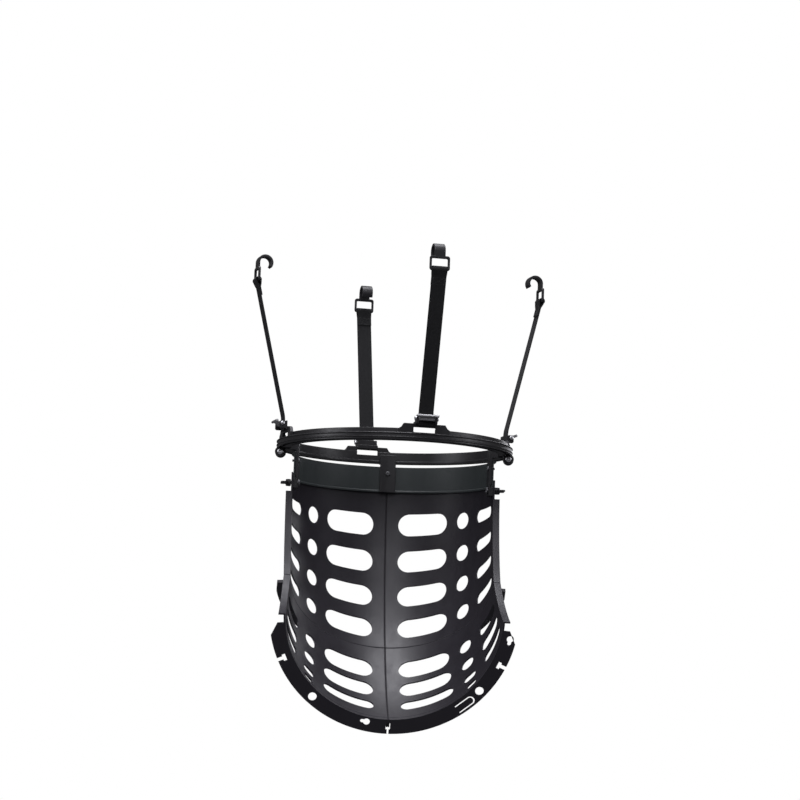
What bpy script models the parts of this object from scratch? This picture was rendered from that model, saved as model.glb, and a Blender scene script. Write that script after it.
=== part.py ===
"""Ball return for a basketball hoop.

A moulded ring hangs from the hoop's rod on four webbing straps. A half-round chute
swivels under the ring and turns a dropping ball towards the thrower.
All lengths are in metres and all angles in degrees. The origin is the centre of the
hoop's rod circle, +Z is up, and the chute's mouth faces -Y.
"""

from math import acos, asin, cos, degrees, pi, radians, sin, sqrt

import bmesh
import bpy
from mathutils import Matrix, Vector

# General fits
fit_gap = 0.0003
cut_overrun = 0.004
plain_fillet = 0.002

# Hoop that the part hangs on
rod_circle_radius = 0.233
rod_radius = 0.0085
rod_play = 0.0005

# Hanger: the ring and its straps are turned a little against the chute
hanger_turn = -4.0
ear_turn = 15.0
ring_drop = 0.29075
ring_over_chute = 0.0295
ring_width = 0.014
ring_height = 0.0195
ring_step = 0.0077
ring_wall = 0.005
ring_edge = 0.0015
bead_height = 0.0012
bead_half_width = 0.0014
bead_pitch = 0.0065
channel_width = 0.006
channel_depth = 0.006
rail_reach = 0.009
rail_thickness = 0.004

# Ears on the ring, one for each strap
ear_base_width = 0.084
ear_top_width = 0.069
ear_height = 0.008
ear_thickness = 0.005
ear_inset = 0.0002
ear_root = 0.009
ear_shoulder_sag = 0.002
window_width = 0.037
window_height = 0.0084
window_rise = 0.0024

# Bolted lugs that join the ring's two halves
lug_radius = 0.009
lug_length = 0.009
lug_inset = 0.007
ring_bolt_radius = 0.003
ring_bolt_head_radius = 0.0052
ring_bolt_head_height = 0.0035
ring_nut_radius = 0.0055
ring_nut_height = 0.005

# Rim hooks
hook_thickness = 0.0045
hook_width = 0.018
hook_tip_angle = 218.0
hook_leg = 0.010
loop_width = 0.0335
loop_height = 0.024
loop_side = 0.0035
loop_bar = 0.0045
loop_corner = 0.004
loop_overlap = 0.002

# Webbing
webbing_width = 0.025
webbing_thickness = 0.0016
webbing_play = 0.0005
webbing_neck = 0.012
webbing_doubled = 0.026
webbing_foot = 0.026

# Cam buckles
buckle_width = 0.035
buckle_plate = 0.0025
buckle_rise = 0.012
buckle_lip_drop = 0.004
buckle_foot_gap = 0.005
cheek_thickness = 0.0035
cheek_height = 0.0135
cheek_reach = 0.0105
cheek_corner = 0.003
pin_radius = 0.002
pin_offset = 0.0062
pin_rise = 0.0075
pin_head_radius = 0.0036
pin_head_height = 0.0022
cam_radius = 0.0034
lever_play = 0.0006
lever_tab_length = 0.0115
lever_tab_thickness = 0.0024
lever_tab_angle = 25.0
thumb_bar_width = 0.037
thumb_bar_depth = 0.0037
thumb_bar_thickness = 0.004

# Collar band that carries the chute
collar_drop = 0.0075
collar_height = 0.044
collar_wall = 0.0025
collar_rib = 0.004
collar_rib_height = 0.003
collar_bead = 0.0012
collar_bead_height = 0.003

# Clips that hook the collar on the ring's rail
clip_width = 0.027
clip_plate = 0.0045
clip_finger = 0.004
clip_reach = 0.007
clip_top_rise = 0.004
clip_foot_drop = 0.014
side_clip_angle = 86.5
clip_screw_radius = 0.002
clip_screw_head_radius = 0.004
clip_screw_head_height = 0.0022
clip_screw_tail = 0.003
clip_screw_drop = 0.012

# Chute: a half pipe bent about an axis in front of it
chute_radius = 0.1665
lip_flare = 0.009
chute_wall = 0.0026
bend_offset = 0.2525
joint_bend = 40.0
lip_bend = 66.5
chute_overlap = 0.012
edge_flange = 0.011
seam_flange = 0.016
flange_set_back = 0.0004
lip_flange_set_back = 0.0001
joint_flange_reach = 0.0245
lip_flange_reach = 0.025
flange_corner_angle = 79.0
flange_corner_fall = 6.0
flange_corner_reach = 0.0215

# Slots and holes of the chute
long_slot_height = 0.0375
low_slot_height = 0.034
lip_slot_height = 0.024
round_hole = 0.028
lip_hole_height = 0.013
outer_slot_height = 0.020
low_outer_slot_height = 0.021
lip_outer_slot_height = 0.016
long_slot_angles = (7.3, 37.4)
round_hole_angle = 49.1
outer_slot_angles = (61.6, 83.0)
upper_rows = (7.6, 16.55, 25.5, 34.45)
lower_rows = (47.0, 54.0, 60.3)
lip_hole_row = 64.2

# Features of the lip flange
lip_hole_radius = 0.007
lip_hole_reach = 0.0125
lip_hole_left = 41.6
lip_hole_right = 50.2
keyhole_radius = 0.0055
keyhole_slot_radius = 0.003
keyhole_length = 0.0105
side_keyhole_reach = 0.015
side_keyhole_angle = 81.0
low_keyhole_reach = 0.0085
low_keyhole_angle = 11.0
notch_angle = 66.5
notch_neck_half = 0.003
notch_neck_depth = 0.009
notch_head_half = 0.0058
notch_head_depth = 0.0055
tongue_angle = 40.5
tongue_reach = 0.014
tongue_half_length = 0.016
tongue_half_gap = 0.0062
tongue_stroke = 0.0022
seam_notch_half = 0.0036
seam_notch_start = 0.004
seam_notch_reach = 0.0175

# Bolts that join the chute's panels
panel_bolt_radius = 0.002
panel_bolt_head_radius = 0.004
panel_bolt_head_height = 0.0025
panel_nut_radius = 0.004
panel_nut_height = 0.003
panel_bolt_tail = 0.001
seam_bolt_rise = 0.0105
seam_bolt_rows = (12.0, 30.0, 50.6)
joint_bolt_reach = 0.0145
joint_bolt_angles = (24.0, 62.0)

# Side bolts and wing nuts
side_bolt_drop = 0.005
side_bolt_radius = 0.003
side_bolt_head_radius = 0.006
side_bolt_head_height = 0.003
side_bolt_tail = 0.0015
wing_hub_radius = 0.006
wing_hub_height = 0.0085
wing_span = 0.013
wing_root = 0.004
wing_height = 0.017
wing_thickness = 0.003
wing_tip_radius = 0.0045

# Facets
ring_steps = 24
panel_arc_steps = 11
upper_bend_steps = 6
lower_bend_steps = 4
slot_end_steps = 3
clip_steps = 2
round_steps = 10
arc_step = 20.0
flange_arc_step = 7.5
seam_side_angle = 86.0

# Places that follow from the sizes above
ring_outer_radius = chute_radius + ring_over_chute
lip_radius = chute_radius + lip_flare
joint_flange_radius = chute_radius + joint_flange_reach
lip_flange_radius = lip_radius + lip_flange_reach
flange_corner_radius = chute_radius + flange_corner_reach
lip_hole_centre = lip_radius + lip_hole_reach
side_keyhole_centre = lip_radius + side_keyhole_reach
low_keyhole_centre = lip_radius + low_keyhole_reach
tongue_centre = lip_radius + tongue_reach
seam_notch_end = lip_radius + seam_notch_reach
joint_bolt_centre = chute_radius + joint_bolt_reach
ring_level = -ring_drop
ring_top = ring_level + ring_height / 2
ring_bottom = ring_level - ring_height / 2
ring_inner_radius = ring_outer_radius - ring_width
lug_level = ring_bottom - max(ring_bolt_head_radius, ring_nut_radius) - fit_gap
rail_radius = ring_inner_radius - rail_reach
rail_top = ring_bottom + rail_thickness
ear_centre_radius = ring_inner_radius + ear_inset + ear_thickness / 2
ear_outer_radius = ear_centre_radius + ear_thickness / 2
ear_top = ring_top + ear_height
buckle_top = ear_top + buckle_rise
collar_top = ring_bottom - collar_drop
chute_level = collar_top - collar_height
collar_outer_radius = chute_radius - fit_gap
collar_inner_radius = collar_outer_radius - collar_wall
facet_turn = radians(90 / panel_arc_steps / 2)
clip_outer_radius = collar_inner_radius * cos(facet_turn) - fit_gap
foot_outer_radius = chute_radius * cos(facet_turn) - fit_gap
clip_inner_radius = clip_outer_radius - clip_plate
crook_radius = rod_radius + rod_play
leg_radius = rod_circle_radius + crook_radius + hook_thickness / 2
loop_top = -hook_leg + loop_overlap
loop_bar_level = loop_top - loop_height + loop_bar / 2
buckle_face = ear_outer_radius + fit_gap + buckle_plate
webbing_foot_radius = buckle_face + webbing_play + webbing_thickness / 2
pin_circle_radius = buckle_face + pin_offset
pin_level = ear_top + pin_rise
side_bolt_level = chute_level - side_bolt_drop
side_angle = radians(side_clip_angle)
strap_places = {"front": 270.0, "right": 0.0, "rear": 90.0, "left": 180.0}


def strap_angle(place):
    """Polar angle of one strap, in radians."""
    return radians(strap_places[place] + ear_turn + hanger_turn)


def clear_scene():
    """Start from an empty scene."""
    for item in list(bpy.data.objects):
        bpy.data.objects.remove(item)


def new_collection(name):
    """Add a collection to the scene."""
    group = bpy.data.collections.new(name)
    bpy.context.scene.collection.children.link(group)
    return group


def new_material(name, colour, roughness, metallic=0.0):
    """Make a plain Principled material."""
    made = bpy.data.materials.new(name)
    made.use_nodes = True
    shader = made.node_tree.nodes["Principled BSDF"]
    shader.inputs["Base Color"].default_value = (*colour, 1.0)
    shader.inputs["Roughness"].default_value = roughness
    shader.inputs["Metallic"].default_value = metallic
    return made


def mesh_of(body, name="shape"):
    """Turn a bmesh into a mesh with outward faces and smooth round sides."""
    bmesh.ops.recalc_face_normals(body, faces=body.faces)
    made = bpy.data.meshes.new(name)
    body.to_mesh(made)
    body.free()
    made.shade_smooth()
    made.set_sharp_from_angle(angle=radians(35))
    return made


def joined(meshes):
    """Put several meshes in one."""
    body = bmesh.new()
    for item in meshes:
        body.from_mesh(item)
    return mesh_of(body)


def moved(mesh, matrix):
    """Return the mesh after it has been turned and moved."""
    mesh.transform(matrix)
    return mesh


def evaluated(helper):
    """Read a helper object's finished mesh, weld it and remove the helper."""
    bpy.context.scene.collection.objects.link(helper)
    graph = bpy.context.evaluated_depsgraph_get()
    made = bpy.data.meshes.new_from_object(helper.evaluated_get(graph))
    bpy.data.objects.remove(helper)
    body = bmesh.new()
    body.from_mesh(made)
    bmesh.ops.remove_doubles(body, verts=body.verts, dist=1e-6)
    return mesh_of(body)


def block(low, high):
    """Box between two corners."""
    size = Vector(high) - Vector(low)
    centre = (Vector(high) + Vector(low)) / 2
    body = bmesh.new()
    place = Matrix.Translation(centre) @ Matrix.Diagonal((*size, 1))
    bmesh.ops.create_cube(body, size=1.0, matrix=place)
    return mesh_of(body)


def round_bar(radius, start, end, segments=round_steps):
    """Cylinder between two heights on the Z axis."""
    body = bmesh.new()
    place = Matrix.Translation((0, 0, (start + end) / 2))
    bmesh.ops.create_cone(body, cap_ends=True, segments=segments, radius1=radius, radius2=radius,
                          depth=abs(end - start), matrix=place)
    return mesh_of(body)


def turned(profile, steps=round_steps):
    """Solid of revolution about Z. The profile runs down its outer side."""
    mesh = bpy.data.meshes.new("profile")
    mesh.from_pydata([(r, 0, z) for r, z in profile],
                     [(i, i + 1) for i in range(len(profile) - 1)], [])
    helper = bpy.data.objects.new("profile", mesh)
    screw = helper.modifiers.new("turn", "SCREW")
    screw.steps = steps
    screw.render_steps = steps
    screw.use_merge_vertices = True
    screw.merge_threshold = 1e-6
    return evaluated(helper)


def turned_sector(profile, start, sweep, steps):
    """Closed profile turned part of the way round Z."""
    body = bmesh.new()
    verts = [body.verts.new((r, 0, z)) for r, z in profile]
    face = body.faces.new(verts)
    turn = Matrix.Rotation(radians(start), 4, "Z")
    bmesh.ops.transform(body, matrix=turn, verts=verts)
    geometry = [face] + list(face.edges) + verts
    bmesh.ops.spin(body, geom=geometry, cent=(0, 0, 0), axis=(0, 0, 1),
                   angle=radians(sweep), steps=steps, use_duplicate=False)
    bmesh.ops.holes_fill(body, edges=body.edges, sides=0)
    return mesh_of(body)


def plate(outline, holes, thickness):
    """Flat outline in XY with holes, as thick as asked, centred on Z."""
    curve = bpy.data.curves.new("outline", "CURVE")
    curve.dimensions = "2D"
    curve.fill_mode = "BOTH"
    curve.extrude = thickness / 2
    for points in [outline] + list(holes):
        spline = curve.splines.new("POLY")
        spline.points.add(len(points) - 1)
        for place, (x, y) in zip(spline.points, points):
            place.co = (x, y, 0, 1)
        spline.use_cyclic_u = True
    return evaluated(bpy.data.objects.new("outline", curve))


def arc(radius, start, end, centre=(0, 0), step=arc_step):
    """Points along an arc, both ends included, angles from +X."""
    count = max(1, round(abs(end - start) / step))
    turns = [radians(start + (end - start) * i / count) for i in range(count + 1)]
    return [(centre[0] + radius * cos(t), centre[1] + radius * sin(t)) for t in turns]


def circle(radius, centre=(0, 0), segments=round_steps):
    """Points round a circle."""
    return arc(radius, 0, 360 - 360 / segments, centre, 360 / segments)


def rounded_box(width, height, radius, centre=(0, 0)):
    """Rectangle with round corners."""
    points = []
    for k, (sx, sy) in enumerate(((1, 1), (-1, 1), (-1, -1), (1, -1))):
        corner = (centre[0] + sx * (width / 2 - radius), centre[1] + sy * (height / 2 - radius))
        points += arc(radius, 90 * k, 90 * k + 90, corner, 30)
    return points


# Outlines drawn in XY are stood up with one of these two turns
side_on = Matrix.Rotation(pi / 2, 4, "X")
face_on = Matrix(((0, 0, 1, 0), (1, 0, 0, 0), (0, 1, 0, 0), (0, 0, 0, 1)))
along_x = Matrix.Rotation(pi / 2, 4, "Y")
along_y = Matrix.Rotation(-pi / 2, 4, "X")


class Builder:
    """Keeps the two collections and adds named parts with their cuts."""

    def __init__(self):
        self.parts = new_collection("ball_return")
        self.tools = new_collection("cutters")
        self.axis = None
        self.materials = {
            "plastic": new_material("moulded plastic", (0.028, 0.027, 0.031), 0.42),
            "collar": new_material("collar plastic", (0.050, 0.055, 0.056), 0.45),
            "webbing": new_material("webbing", (0.016, 0.016, 0.018), 0.85),
            "steel": new_material("zinc plated steel", (0.62, 0.62, 0.64), 0.32, 1.0),
            "buckle": new_material("lever steel", (0.45, 0.45, 0.47), 0.38, 1.0),
        }

    def carry_on(self, name):
        """Parent the parts that follow to an empty on the swivel axis."""
        self.axis = bpy.data.objects.new(name, None)
        self.parts.objects.link(self.axis)

    def part(self, name, mesh, finish, place=None):
        """Add one named part."""
        made = bpy.data.objects.new(name, mesh)
        mesh.name = name
        mesh.materials.clear()
        mesh.materials.append(self.materials[finish])
        made.parent = self.axis
        if place is not None:
            made.matrix_basis = place
        self.parts.objects.link(made)
        return made

    def shape(self, target, mesh, operation):
        """Add to a part or cut it with one closed mesh, given in world space."""
        tool = bpy.data.objects.new(target.name + "_" + operation.lower(), mesh)
        tool.hide_render = True
        tool.display_type = "WIRE"
        self.tools.objects.link(tool)
        step = target.modifiers.new(operation.lower(), "BOOLEAN")
        step.operation = operation
        step.solver = "EXACT"
        step.object = tool


def ring_profile():
    """Section of the ring: an upstanding wall, a beaded outer band and the rail inside."""
    shell = ring_outer_radius - bead_height
    band_top = ring_top - ring_step
    wall = ring_inner_radius + ring_wall
    outer = []
    for k in range(2):
        level = band_top - bead_half_width - k * bead_pitch
        outer += [(shell, level + bead_half_width), (ring_outer_radius, level),
                  (shell, level - bead_half_width)]
    middle = (shell + ring_inner_radius) / 2
    return ([(ring_inner_radius + ring_edge, ring_top), (wall - ring_edge, ring_top),
             (wall, ring_top - ring_edge), (wall, band_top)] + outer +
            [(shell, ring_bottom + ring_edge), (shell - ring_edge, ring_bottom),
             (middle + channel_width / 2, ring_bottom),
             (middle + channel_width / 2, ring_bottom + channel_depth),
             (middle - channel_width / 2, ring_bottom + channel_depth),
             (middle - channel_width / 2, ring_bottom),
             (rail_radius, ring_bottom), (rail_radius, rail_top),
             (ring_inner_radius, rail_top), (ring_inner_radius, ring_top - ring_edge)])


def ear_outline():
    """Trapezoid with hollow shoulders, drawn about the ring's top."""
    half_base, half_top = ear_base_width / 2, ear_top_width / 2
    shoulder = ((half_base + half_top) / 2, ear_height / 2 - ear_shoulder_sag)
    right = [(half_base, -ear_root), (half_base, 0), shoulder, (half_top, ear_height - plain_fillet),
             (half_top - plain_fillet, ear_height)]
    return right + [(-x, z) for x, z in reversed(right)]


def lug_place(end):
    """Matrix at the ring's joint: +Z runs from the front half to the rear half."""
    turn = Matrix.Rotation(radians(hanger_turn), 4, "Z")
    seat = Vector((end * (ring_outer_radius - lug_inset), 0, lug_level))
    return turn @ Matrix.Translation(seat) @ along_y


def build_ring(build):
    """Two ring halves with ears, windows and bolted lugs."""
    halves = {"ring_rear_half": (0.0, 1), "ring_front_half": (180.0, -1)}
    gap_angle = degrees(fit_gap / ring_outer_radius)
    turn = Matrix.Rotation(radians(hanger_turn), 4, "Z")
    for name, (start, side) in halves.items():
        sector = turned_sector(ring_profile(), start + gap_angle / 2, 180.0 - gap_angle, ring_steps)
        half = build.part(name, moved(sector, turn), "plastic")
        adds = []
        cuts = []
        for place in strap_places:
            angle = strap_angle(place)
            turned_half = (angle - radians(hanger_turn)) % (2 * pi)
            if (turned_half < pi) != (side > 0):
                continue
            seat = Matrix.Translation((ear_centre_radius, 0, ring_top))
            stand = Matrix.Rotation(angle, 4, "Z") @ seat
            adds.append(moved(plate(ear_outline(), [], ear_thickness), stand @ face_on))
            low = (-ring_width, -window_width / 2, window_rise - window_height)
            high = (ring_width * 2, window_width / 2, window_rise)
            cuts.append(moved(block(low, high), stand))
        for end in (-1, 1):
            near, far = side * fit_gap / 2, side * (fit_gap / 2 + lug_length)
            adds.append(moved(round_bar(lug_radius, near, far), lug_place(end)))
            cuts.append(moved(round_bar(ring_bolt_radius + fit_gap, near - side * cut_overrun,
                                        far + side * cut_overrun), lug_place(end)))
        build.shape(half, joined(adds), "UNION")
        build.shape(half, joined(cuts), "DIFFERENCE")


def bolt_mesh(radius, length, head_radius, head_height):
    """Pan head bolt: the head's seat is at Z = 0 and the shank runs down."""
    edge = head_height / 3
    return turned([(0, head_height), (head_radius - edge, head_height), (head_radius, head_height - edge),
                   (head_radius, 0), (radius, 0), (radius, -length), (0, -length)])


def nut_mesh(radius, height, bore):
    """Hexagon nut that sits on Z = 0 and stands up."""
    outline = circle(radius, segments=6)
    bore_points = circle(bore)
    return moved(plate(outline, [bore_points], height), Matrix.Translation((0, 0, height / 2)))


def build_ring_bolts(build):
    """Bolt and nut through each pair of lugs."""
    grip = fit_gap / 2 + lug_length + fit_gap
    length = 2 * grip + ring_nut_height + ring_bolt_head_height / 2
    for name, end in (("left", -1), ("right", 1)):
        head = lug_place(end) @ Matrix.Translation((0, 0, -grip)) @ Matrix.Rotation(pi, 4, "X")
        nut = lug_place(end) @ Matrix.Translation((0, 0, grip))
        build.part("ring_bolt_" + name, bolt_mesh(ring_bolt_radius, length, ring_bolt_head_radius,
                                                  ring_bolt_head_height), "steel", head)
        build.part("ring_nut_" + name, nut_mesh(ring_nut_radius, ring_nut_height,
                                                ring_bolt_radius + fit_gap), "steel", nut)


def bar_place(place):
    """Matrix at the middle of a hook's loop bar."""
    return Matrix.Rotation(strap_angle(place), 4, "Z") @ Matrix.Translation((leg_radius, 0, loop_bar_level))


def hook_outline():
    """Side view of the crook and its leg, about the centre of the loop's bar."""
    outer = crook_radius + hook_thickness
    leg_x = crook_radius + hook_thickness / 2
    points = arc(outer, hook_tip_angle, 0) + [(outer, -hook_leg), (crook_radius, -hook_leg)]
    points += arc(crook_radius, 0, hook_tip_angle)
    return [(x - leg_x, z - loop_bar_level) for x, z in points]


def build_hooks(build):
    """Four rim hooks, each with its origin on the bar that the webbing goes round."""
    window = (loop_width - 2 * loop_side, loop_height - 2 * loop_bar)
    middle = loop_top - loop_height / 2 - loop_bar_level
    for place in strap_places:
        stand = bar_place(place)
        crook = moved(plate(hook_outline(), [], hook_width), side_on)
        hook = build.part("rim_hook_" + place, crook, "plastic", stand)
        outline = rounded_box(loop_width, loop_height, loop_corner, (0, middle))
        hole = rounded_box(*window, loop_corner / 2, (0, middle))
        frame = moved(plate(outline, [hole], hook_thickness - fit_gap), stand @ face_on)
        build.shape(hook, frame, "UNION")


def strap_outline():
    """Side view of one strap, from its loop round the hook's bar down to the buckle."""
    half_bar = loop_bar / 2
    inner = half_bar * sqrt(2) + webbing_play
    outer = inner + webbing_thickness
    knee = Vector((webbing_foot_radius - leg_radius, ear_top + webbing_foot - ear_height - loop_bar_level))
    down = knee.normalized()
    across = Vector((-down.y, down.x))

    def at(distance, sideways):
        spot = down * distance + across * sideways
        return (spot.x, spot.y)

    lean = degrees(acos(down.x))
    neck = degrees(acos(outer / webbing_neck)) / 2 + 30
    loop = arc(outer, -lean - neck + 360, -lean + neck)
    hole = circle(inner)
    foot_level = ring_top + buckle_foot_gap - loop_bar_level
    half = webbing_thickness / 2
    body = [at(webbing_neck, webbing_thickness), at(knee.length, half), (knee.x + half, foot_level),
            (knee.x - half, foot_level), at(knee.length, -half), at(webbing_doubled, -half / 4),
            at(webbing_doubled, -webbing_thickness), at(webbing_neck, -webbing_thickness)]
    return loop, hole, body


def build_straps(build):
    """Four webbing straps."""
    loop, hole, body = strap_outline()
    start, end = Vector(loop[0]), Vector(loop[-1])
    if (start - Vector(body[0])).length > (end - Vector(body[0])).length:
        body_points = body
    else:
        body_points = list(reversed(body))
    for place in strap_places:
        strap = plate(loop + body_points, [hole], webbing_width)
        build.part("strap_" + place, moved(strap, side_on), "webbing", bar_place(place))


def saddle_outline():
    """Side view of the buckle's plate and its hook over the ear, radius against height."""
    inner_face = ear_centre_radius - ear_thickness / 2 - fit_gap
    outer_face = ear_outer_radius + fit_gap
    seat = ear_top + fit_gap
    crown = seat + buckle_plate
    foot = ring_top + buckle_foot_gap
    edge = buckle_plate / 3
    return [(buckle_face, foot), (buckle_face, buckle_top - edge), (buckle_face - edge, buckle_top),
            (outer_face, buckle_top), (outer_face, crown), (inner_face - buckle_plate + edge, crown),
            (inner_face - buckle_plate, crown - edge), (inner_face - buckle_plate, seat - buckle_lip_drop),
            (inner_face, seat - buckle_lip_drop), (inner_face, seat), (outer_face, seat),
            (outer_face, foot)]


def thumb_bar_outline():
    """Section of the bar along the lever's tip, with broken edges."""
    x, y = thumb_bar_depth / 2, thumb_bar_thickness / 2
    edge = y / 2
    right = [(x, edge), (x - edge, y)]
    left = [(-x, y)]
    upper = right + left
    return upper + [(px, -py) for px, py in reversed(upper)]


def build_buckles(build):
    """Saddle, pin and spring lever of the four cam buckles."""
    half = buckle_width / 2
    cheek_middle = (buckle_face + (cheek_reach - fit_gap) / 2, buckle_top - cheek_height / 2)
    cheek = rounded_box(cheek_reach + fit_gap, cheek_height - fit_gap, cheek_corner, cheek_middle)
    bore = circle(pin_radius + fit_gap, (pin_circle_radius, pin_level))
    lever_half = half - cheek_thickness - lever_play
    for place in strap_places:
        stand = Matrix.Rotation(strap_angle(place), 4, "Z")
        cover = moved(plate(saddle_outline(), [], buckle_width - fit_gap), side_on)
        saddle = build.part("buckle_frame_" + place, cover, "plastic", stand)
        cheeks = []
        for side in (-1, 1):
            shift = Matrix.Translation((0, side * (half - cheek_thickness / 2), 0))
            cheeks.append(moved(plate(cheek, [bore], cheek_thickness), stand @ shift @ side_on))
        build.shape(saddle, joined(cheeks), "UNION")

        axle = stand @ Matrix.Translation((pin_circle_radius, 0, pin_level))
        reach = half + fit_gap
        far = reach + pin_head_height
        head = [(0, far), (pin_head_radius, far), (pin_head_radius, reach), (pin_radius, reach)]
        profile = head + [(r, -z) for r, z in reversed(head)]
        build.part("buckle_pin_" + place, moved(turned(profile), along_y), "steel", axle)

        tab = Matrix.Rotation(radians(lever_tab_angle), 2)
        thick = lever_tab_thickness / 2
        root = degrees(asin(thick / cam_radius))
        points = arc(cam_radius, root, 360 - root, step=30)
        points += [(lever_tab_length - thick, -thick), (lever_tab_length, -thick / 2),
                   (lever_tab_length, thick / 2), (lever_tab_length - thick, thick)]
        outline = [tuple(tab @ Vector(p)) for p in points]
        lever = plate(outline, [circle(pin_radius + fit_gap)], 2 * lever_half)
        made = build.part("buckle_lever_" + place, moved(lever, side_on), "buckle", axle)
        bar_middle = lever_tab_length - thumb_bar_depth / 2
        bar = [tuple(tab @ Vector((bar_middle + x, y))) for x, y in thumb_bar_outline()]
        build.shape(made, moved(plate(bar, [], thumb_bar_width), axle @ side_on), "UNION")


def collar_profile():
    """Section of the collar band with its top rib and the bead at its foot."""
    out, inn = collar_outer_radius, collar_inner_radius
    rib, under_rib = out + collar_rib, collar_top - collar_rib_height
    bead, over_bead = inn - collar_bead, chute_level + collar_bead_height
    return [(inn, collar_top), (rib, collar_top), (rib, under_rib), (out, under_rib), (out, chute_level),
            (bead, chute_level), (bead, over_bead), (inn, over_bead + collar_bead)]


def clip_outline(with_foot):
    """Side view of a clip: a C round the ring's rail over a plate inside the band."""
    plate_in, plate_out = clip_inner_radius, clip_outer_radius
    reach = rail_radius + clip_reach
    throat = rail_radius - 2 * fit_gap
    upper, lower = rail_top + fit_gap, ring_bottom - fit_gap
    crown = upper + clip_finger
    bead_clear = chute_level + collar_bead_height + 2 * collar_bead + fit_gap
    points = [(plate_in, crown + clip_top_rise), (plate_out, crown + clip_top_rise), (plate_out, crown),
              (reach, crown), (reach, upper), (throat, upper), (throat, lower), (reach, lower),
              (reach, lower - clip_finger / 2), (plate_out, lower - clip_finger / 2)]
    thin = plate_out - collar_bead - fit_gap
    points += [(plate_out, bead_clear), (thin, bead_clear - collar_bead)]
    if with_foot:
        foot = chute_level - clip_foot_drop
        points += [(thin, chute_level - fit_gap), (foot_outer_radius, chute_level - fit_gap),
                   (foot_outer_radius, foot + plain_fillet), (foot_outer_radius - plain_fillet, foot),
                   (plate_in, foot)]
    else:
        points += [(thin, chute_level), (plate_in, chute_level)]
    return points


def clip_places():
    """Name and azimuth from the rear of each clip, and whether it has a bolt foot."""
    return (("rear", 0.0, False), ("left", -side_clip_angle, True), ("right", side_clip_angle, True))


def azimuth(angle):
    """Matrix that turns +X to a direction measured from the rear, +X side positive."""
    return Matrix.Rotation(pi / 2 - radians(angle), 4, "Z")


def build_collar(build):
    """Collar band, its three clips and their screws."""
    half_round = turned_sector(collar_profile(), 0.0, 180.0, 2 * panel_arc_steps)
    band = build.part("collar_band", half_round, "collar")
    level = collar_top - clip_screw_drop
    cuts = []
    for name, angle, with_foot in clip_places():
        stand = azimuth(angle)
        sweep = degrees(clip_width / collar_inner_radius)
        bent = turned_sector(clip_outline(with_foot), -sweep / 2, sweep, clip_steps)
        clip = build.part("collar_clip_" + name, bent, "plastic", stand)
        seat = stand @ Matrix.Translation((clip_inner_radius, 0, level))
        drill = round_bar(clip_screw_radius + fit_gap, -cut_overrun, clip_plate + collar_wall + cut_overrun)
        tools = [moved(drill, seat @ along_x)]
        cuts.append(tools[0].copy())
        if with_foot:
            bolt = Matrix.Translation((0, side_bolt_y(), side_bolt_level)) @ along_x
            reach = sin(radians(angle)) * (foot_outer_radius + cut_overrun)
            inner = sin(radians(angle)) * (clip_inner_radius - cut_overrun)
            span = sorted((inner, reach))
            tools.append(moved(round_bar(side_bolt_radius + fit_gap, *span), bolt))
        build.shape(clip, joined(tools), "DIFFERENCE")
        length = clip_plate + 2 * fit_gap + collar_wall + clip_screw_tail
        screw = bolt_mesh(clip_screw_radius, length, clip_screw_head_radius, clip_screw_head_height)
        out = seat @ Matrix.Translation((-fit_gap, 0, 0)) @ Matrix.Rotation(-pi / 2, 4, "Y")
        build.part("clip_screw_" + name, screw, "steel", out)
    build.shape(band, joined(cuts), "DIFFERENCE")


def section_radius(bend):
    """Inner radius of the half pipe where it has bent so far."""
    if bend <= joint_bend:
        return chute_radius
    share = (bend - joint_bend) / (lip_bend - joint_bend)
    return chute_radius + (lip_radius - chute_radius) * share


def section_place(bend, lift=0.0):
    """Matrix of a cross section: local X across, local Y out from the bend's axis."""
    turn = radians(bend)
    centre = (0, bend_offset * (cos(turn) - 1), chute_level - bend_offset * sin(turn) + lift)
    return Matrix.Translation(centre) @ Matrix.Rotation(-turn, 4, "X")


def bend_of(length, side_turn=0.0):
    """Bend in degrees that a length makes on the wall at that azimuth."""
    reach = bend_offset + chute_radius * cos(radians(side_turn))
    return degrees(length / reach)


def side_bolt_y():
    """How far the side bolts sit behind the chute's free edges."""
    return clip_inner_radius * cos(side_angle)


def panel_shell(side, stations):
    """Open surface of one panel, from its edge flange round to its seam flange."""
    body = bmesh.new()
    rows = []
    for bend, lift in stations:
        radius = section_radius(bend)
        outline = [(radius + edge_flange, 0), (radius, 0)]
        outline += arc(radius, 90 / panel_arc_steps, 90 - 90 / panel_arc_steps, step=90 / panel_arc_steps)
        outline += [(fit_gap / 2, radius), (fit_gap / 2, radius + seam_flange)]
        place = section_place(bend, lift)
        rows.append([body.verts.new(place @ Vector((side * x, y, 0))) for x, y in outline])
    for upper, lower in zip(rows, rows[1:]):
        for i in range(len(upper) - 1):
            corners = (upper[i], upper[i + 1], lower[i + 1], lower[i])
            body.faces.new(corners if side < 0 else tuple(reversed(corners)))
    mesh = bpy.data.meshes.new("panel")
    body.to_mesh(mesh)
    body.free()
    mesh.shade_smooth()
    mesh.set_sharp_from_angle(angle=radians(35))
    return mesh


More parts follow.
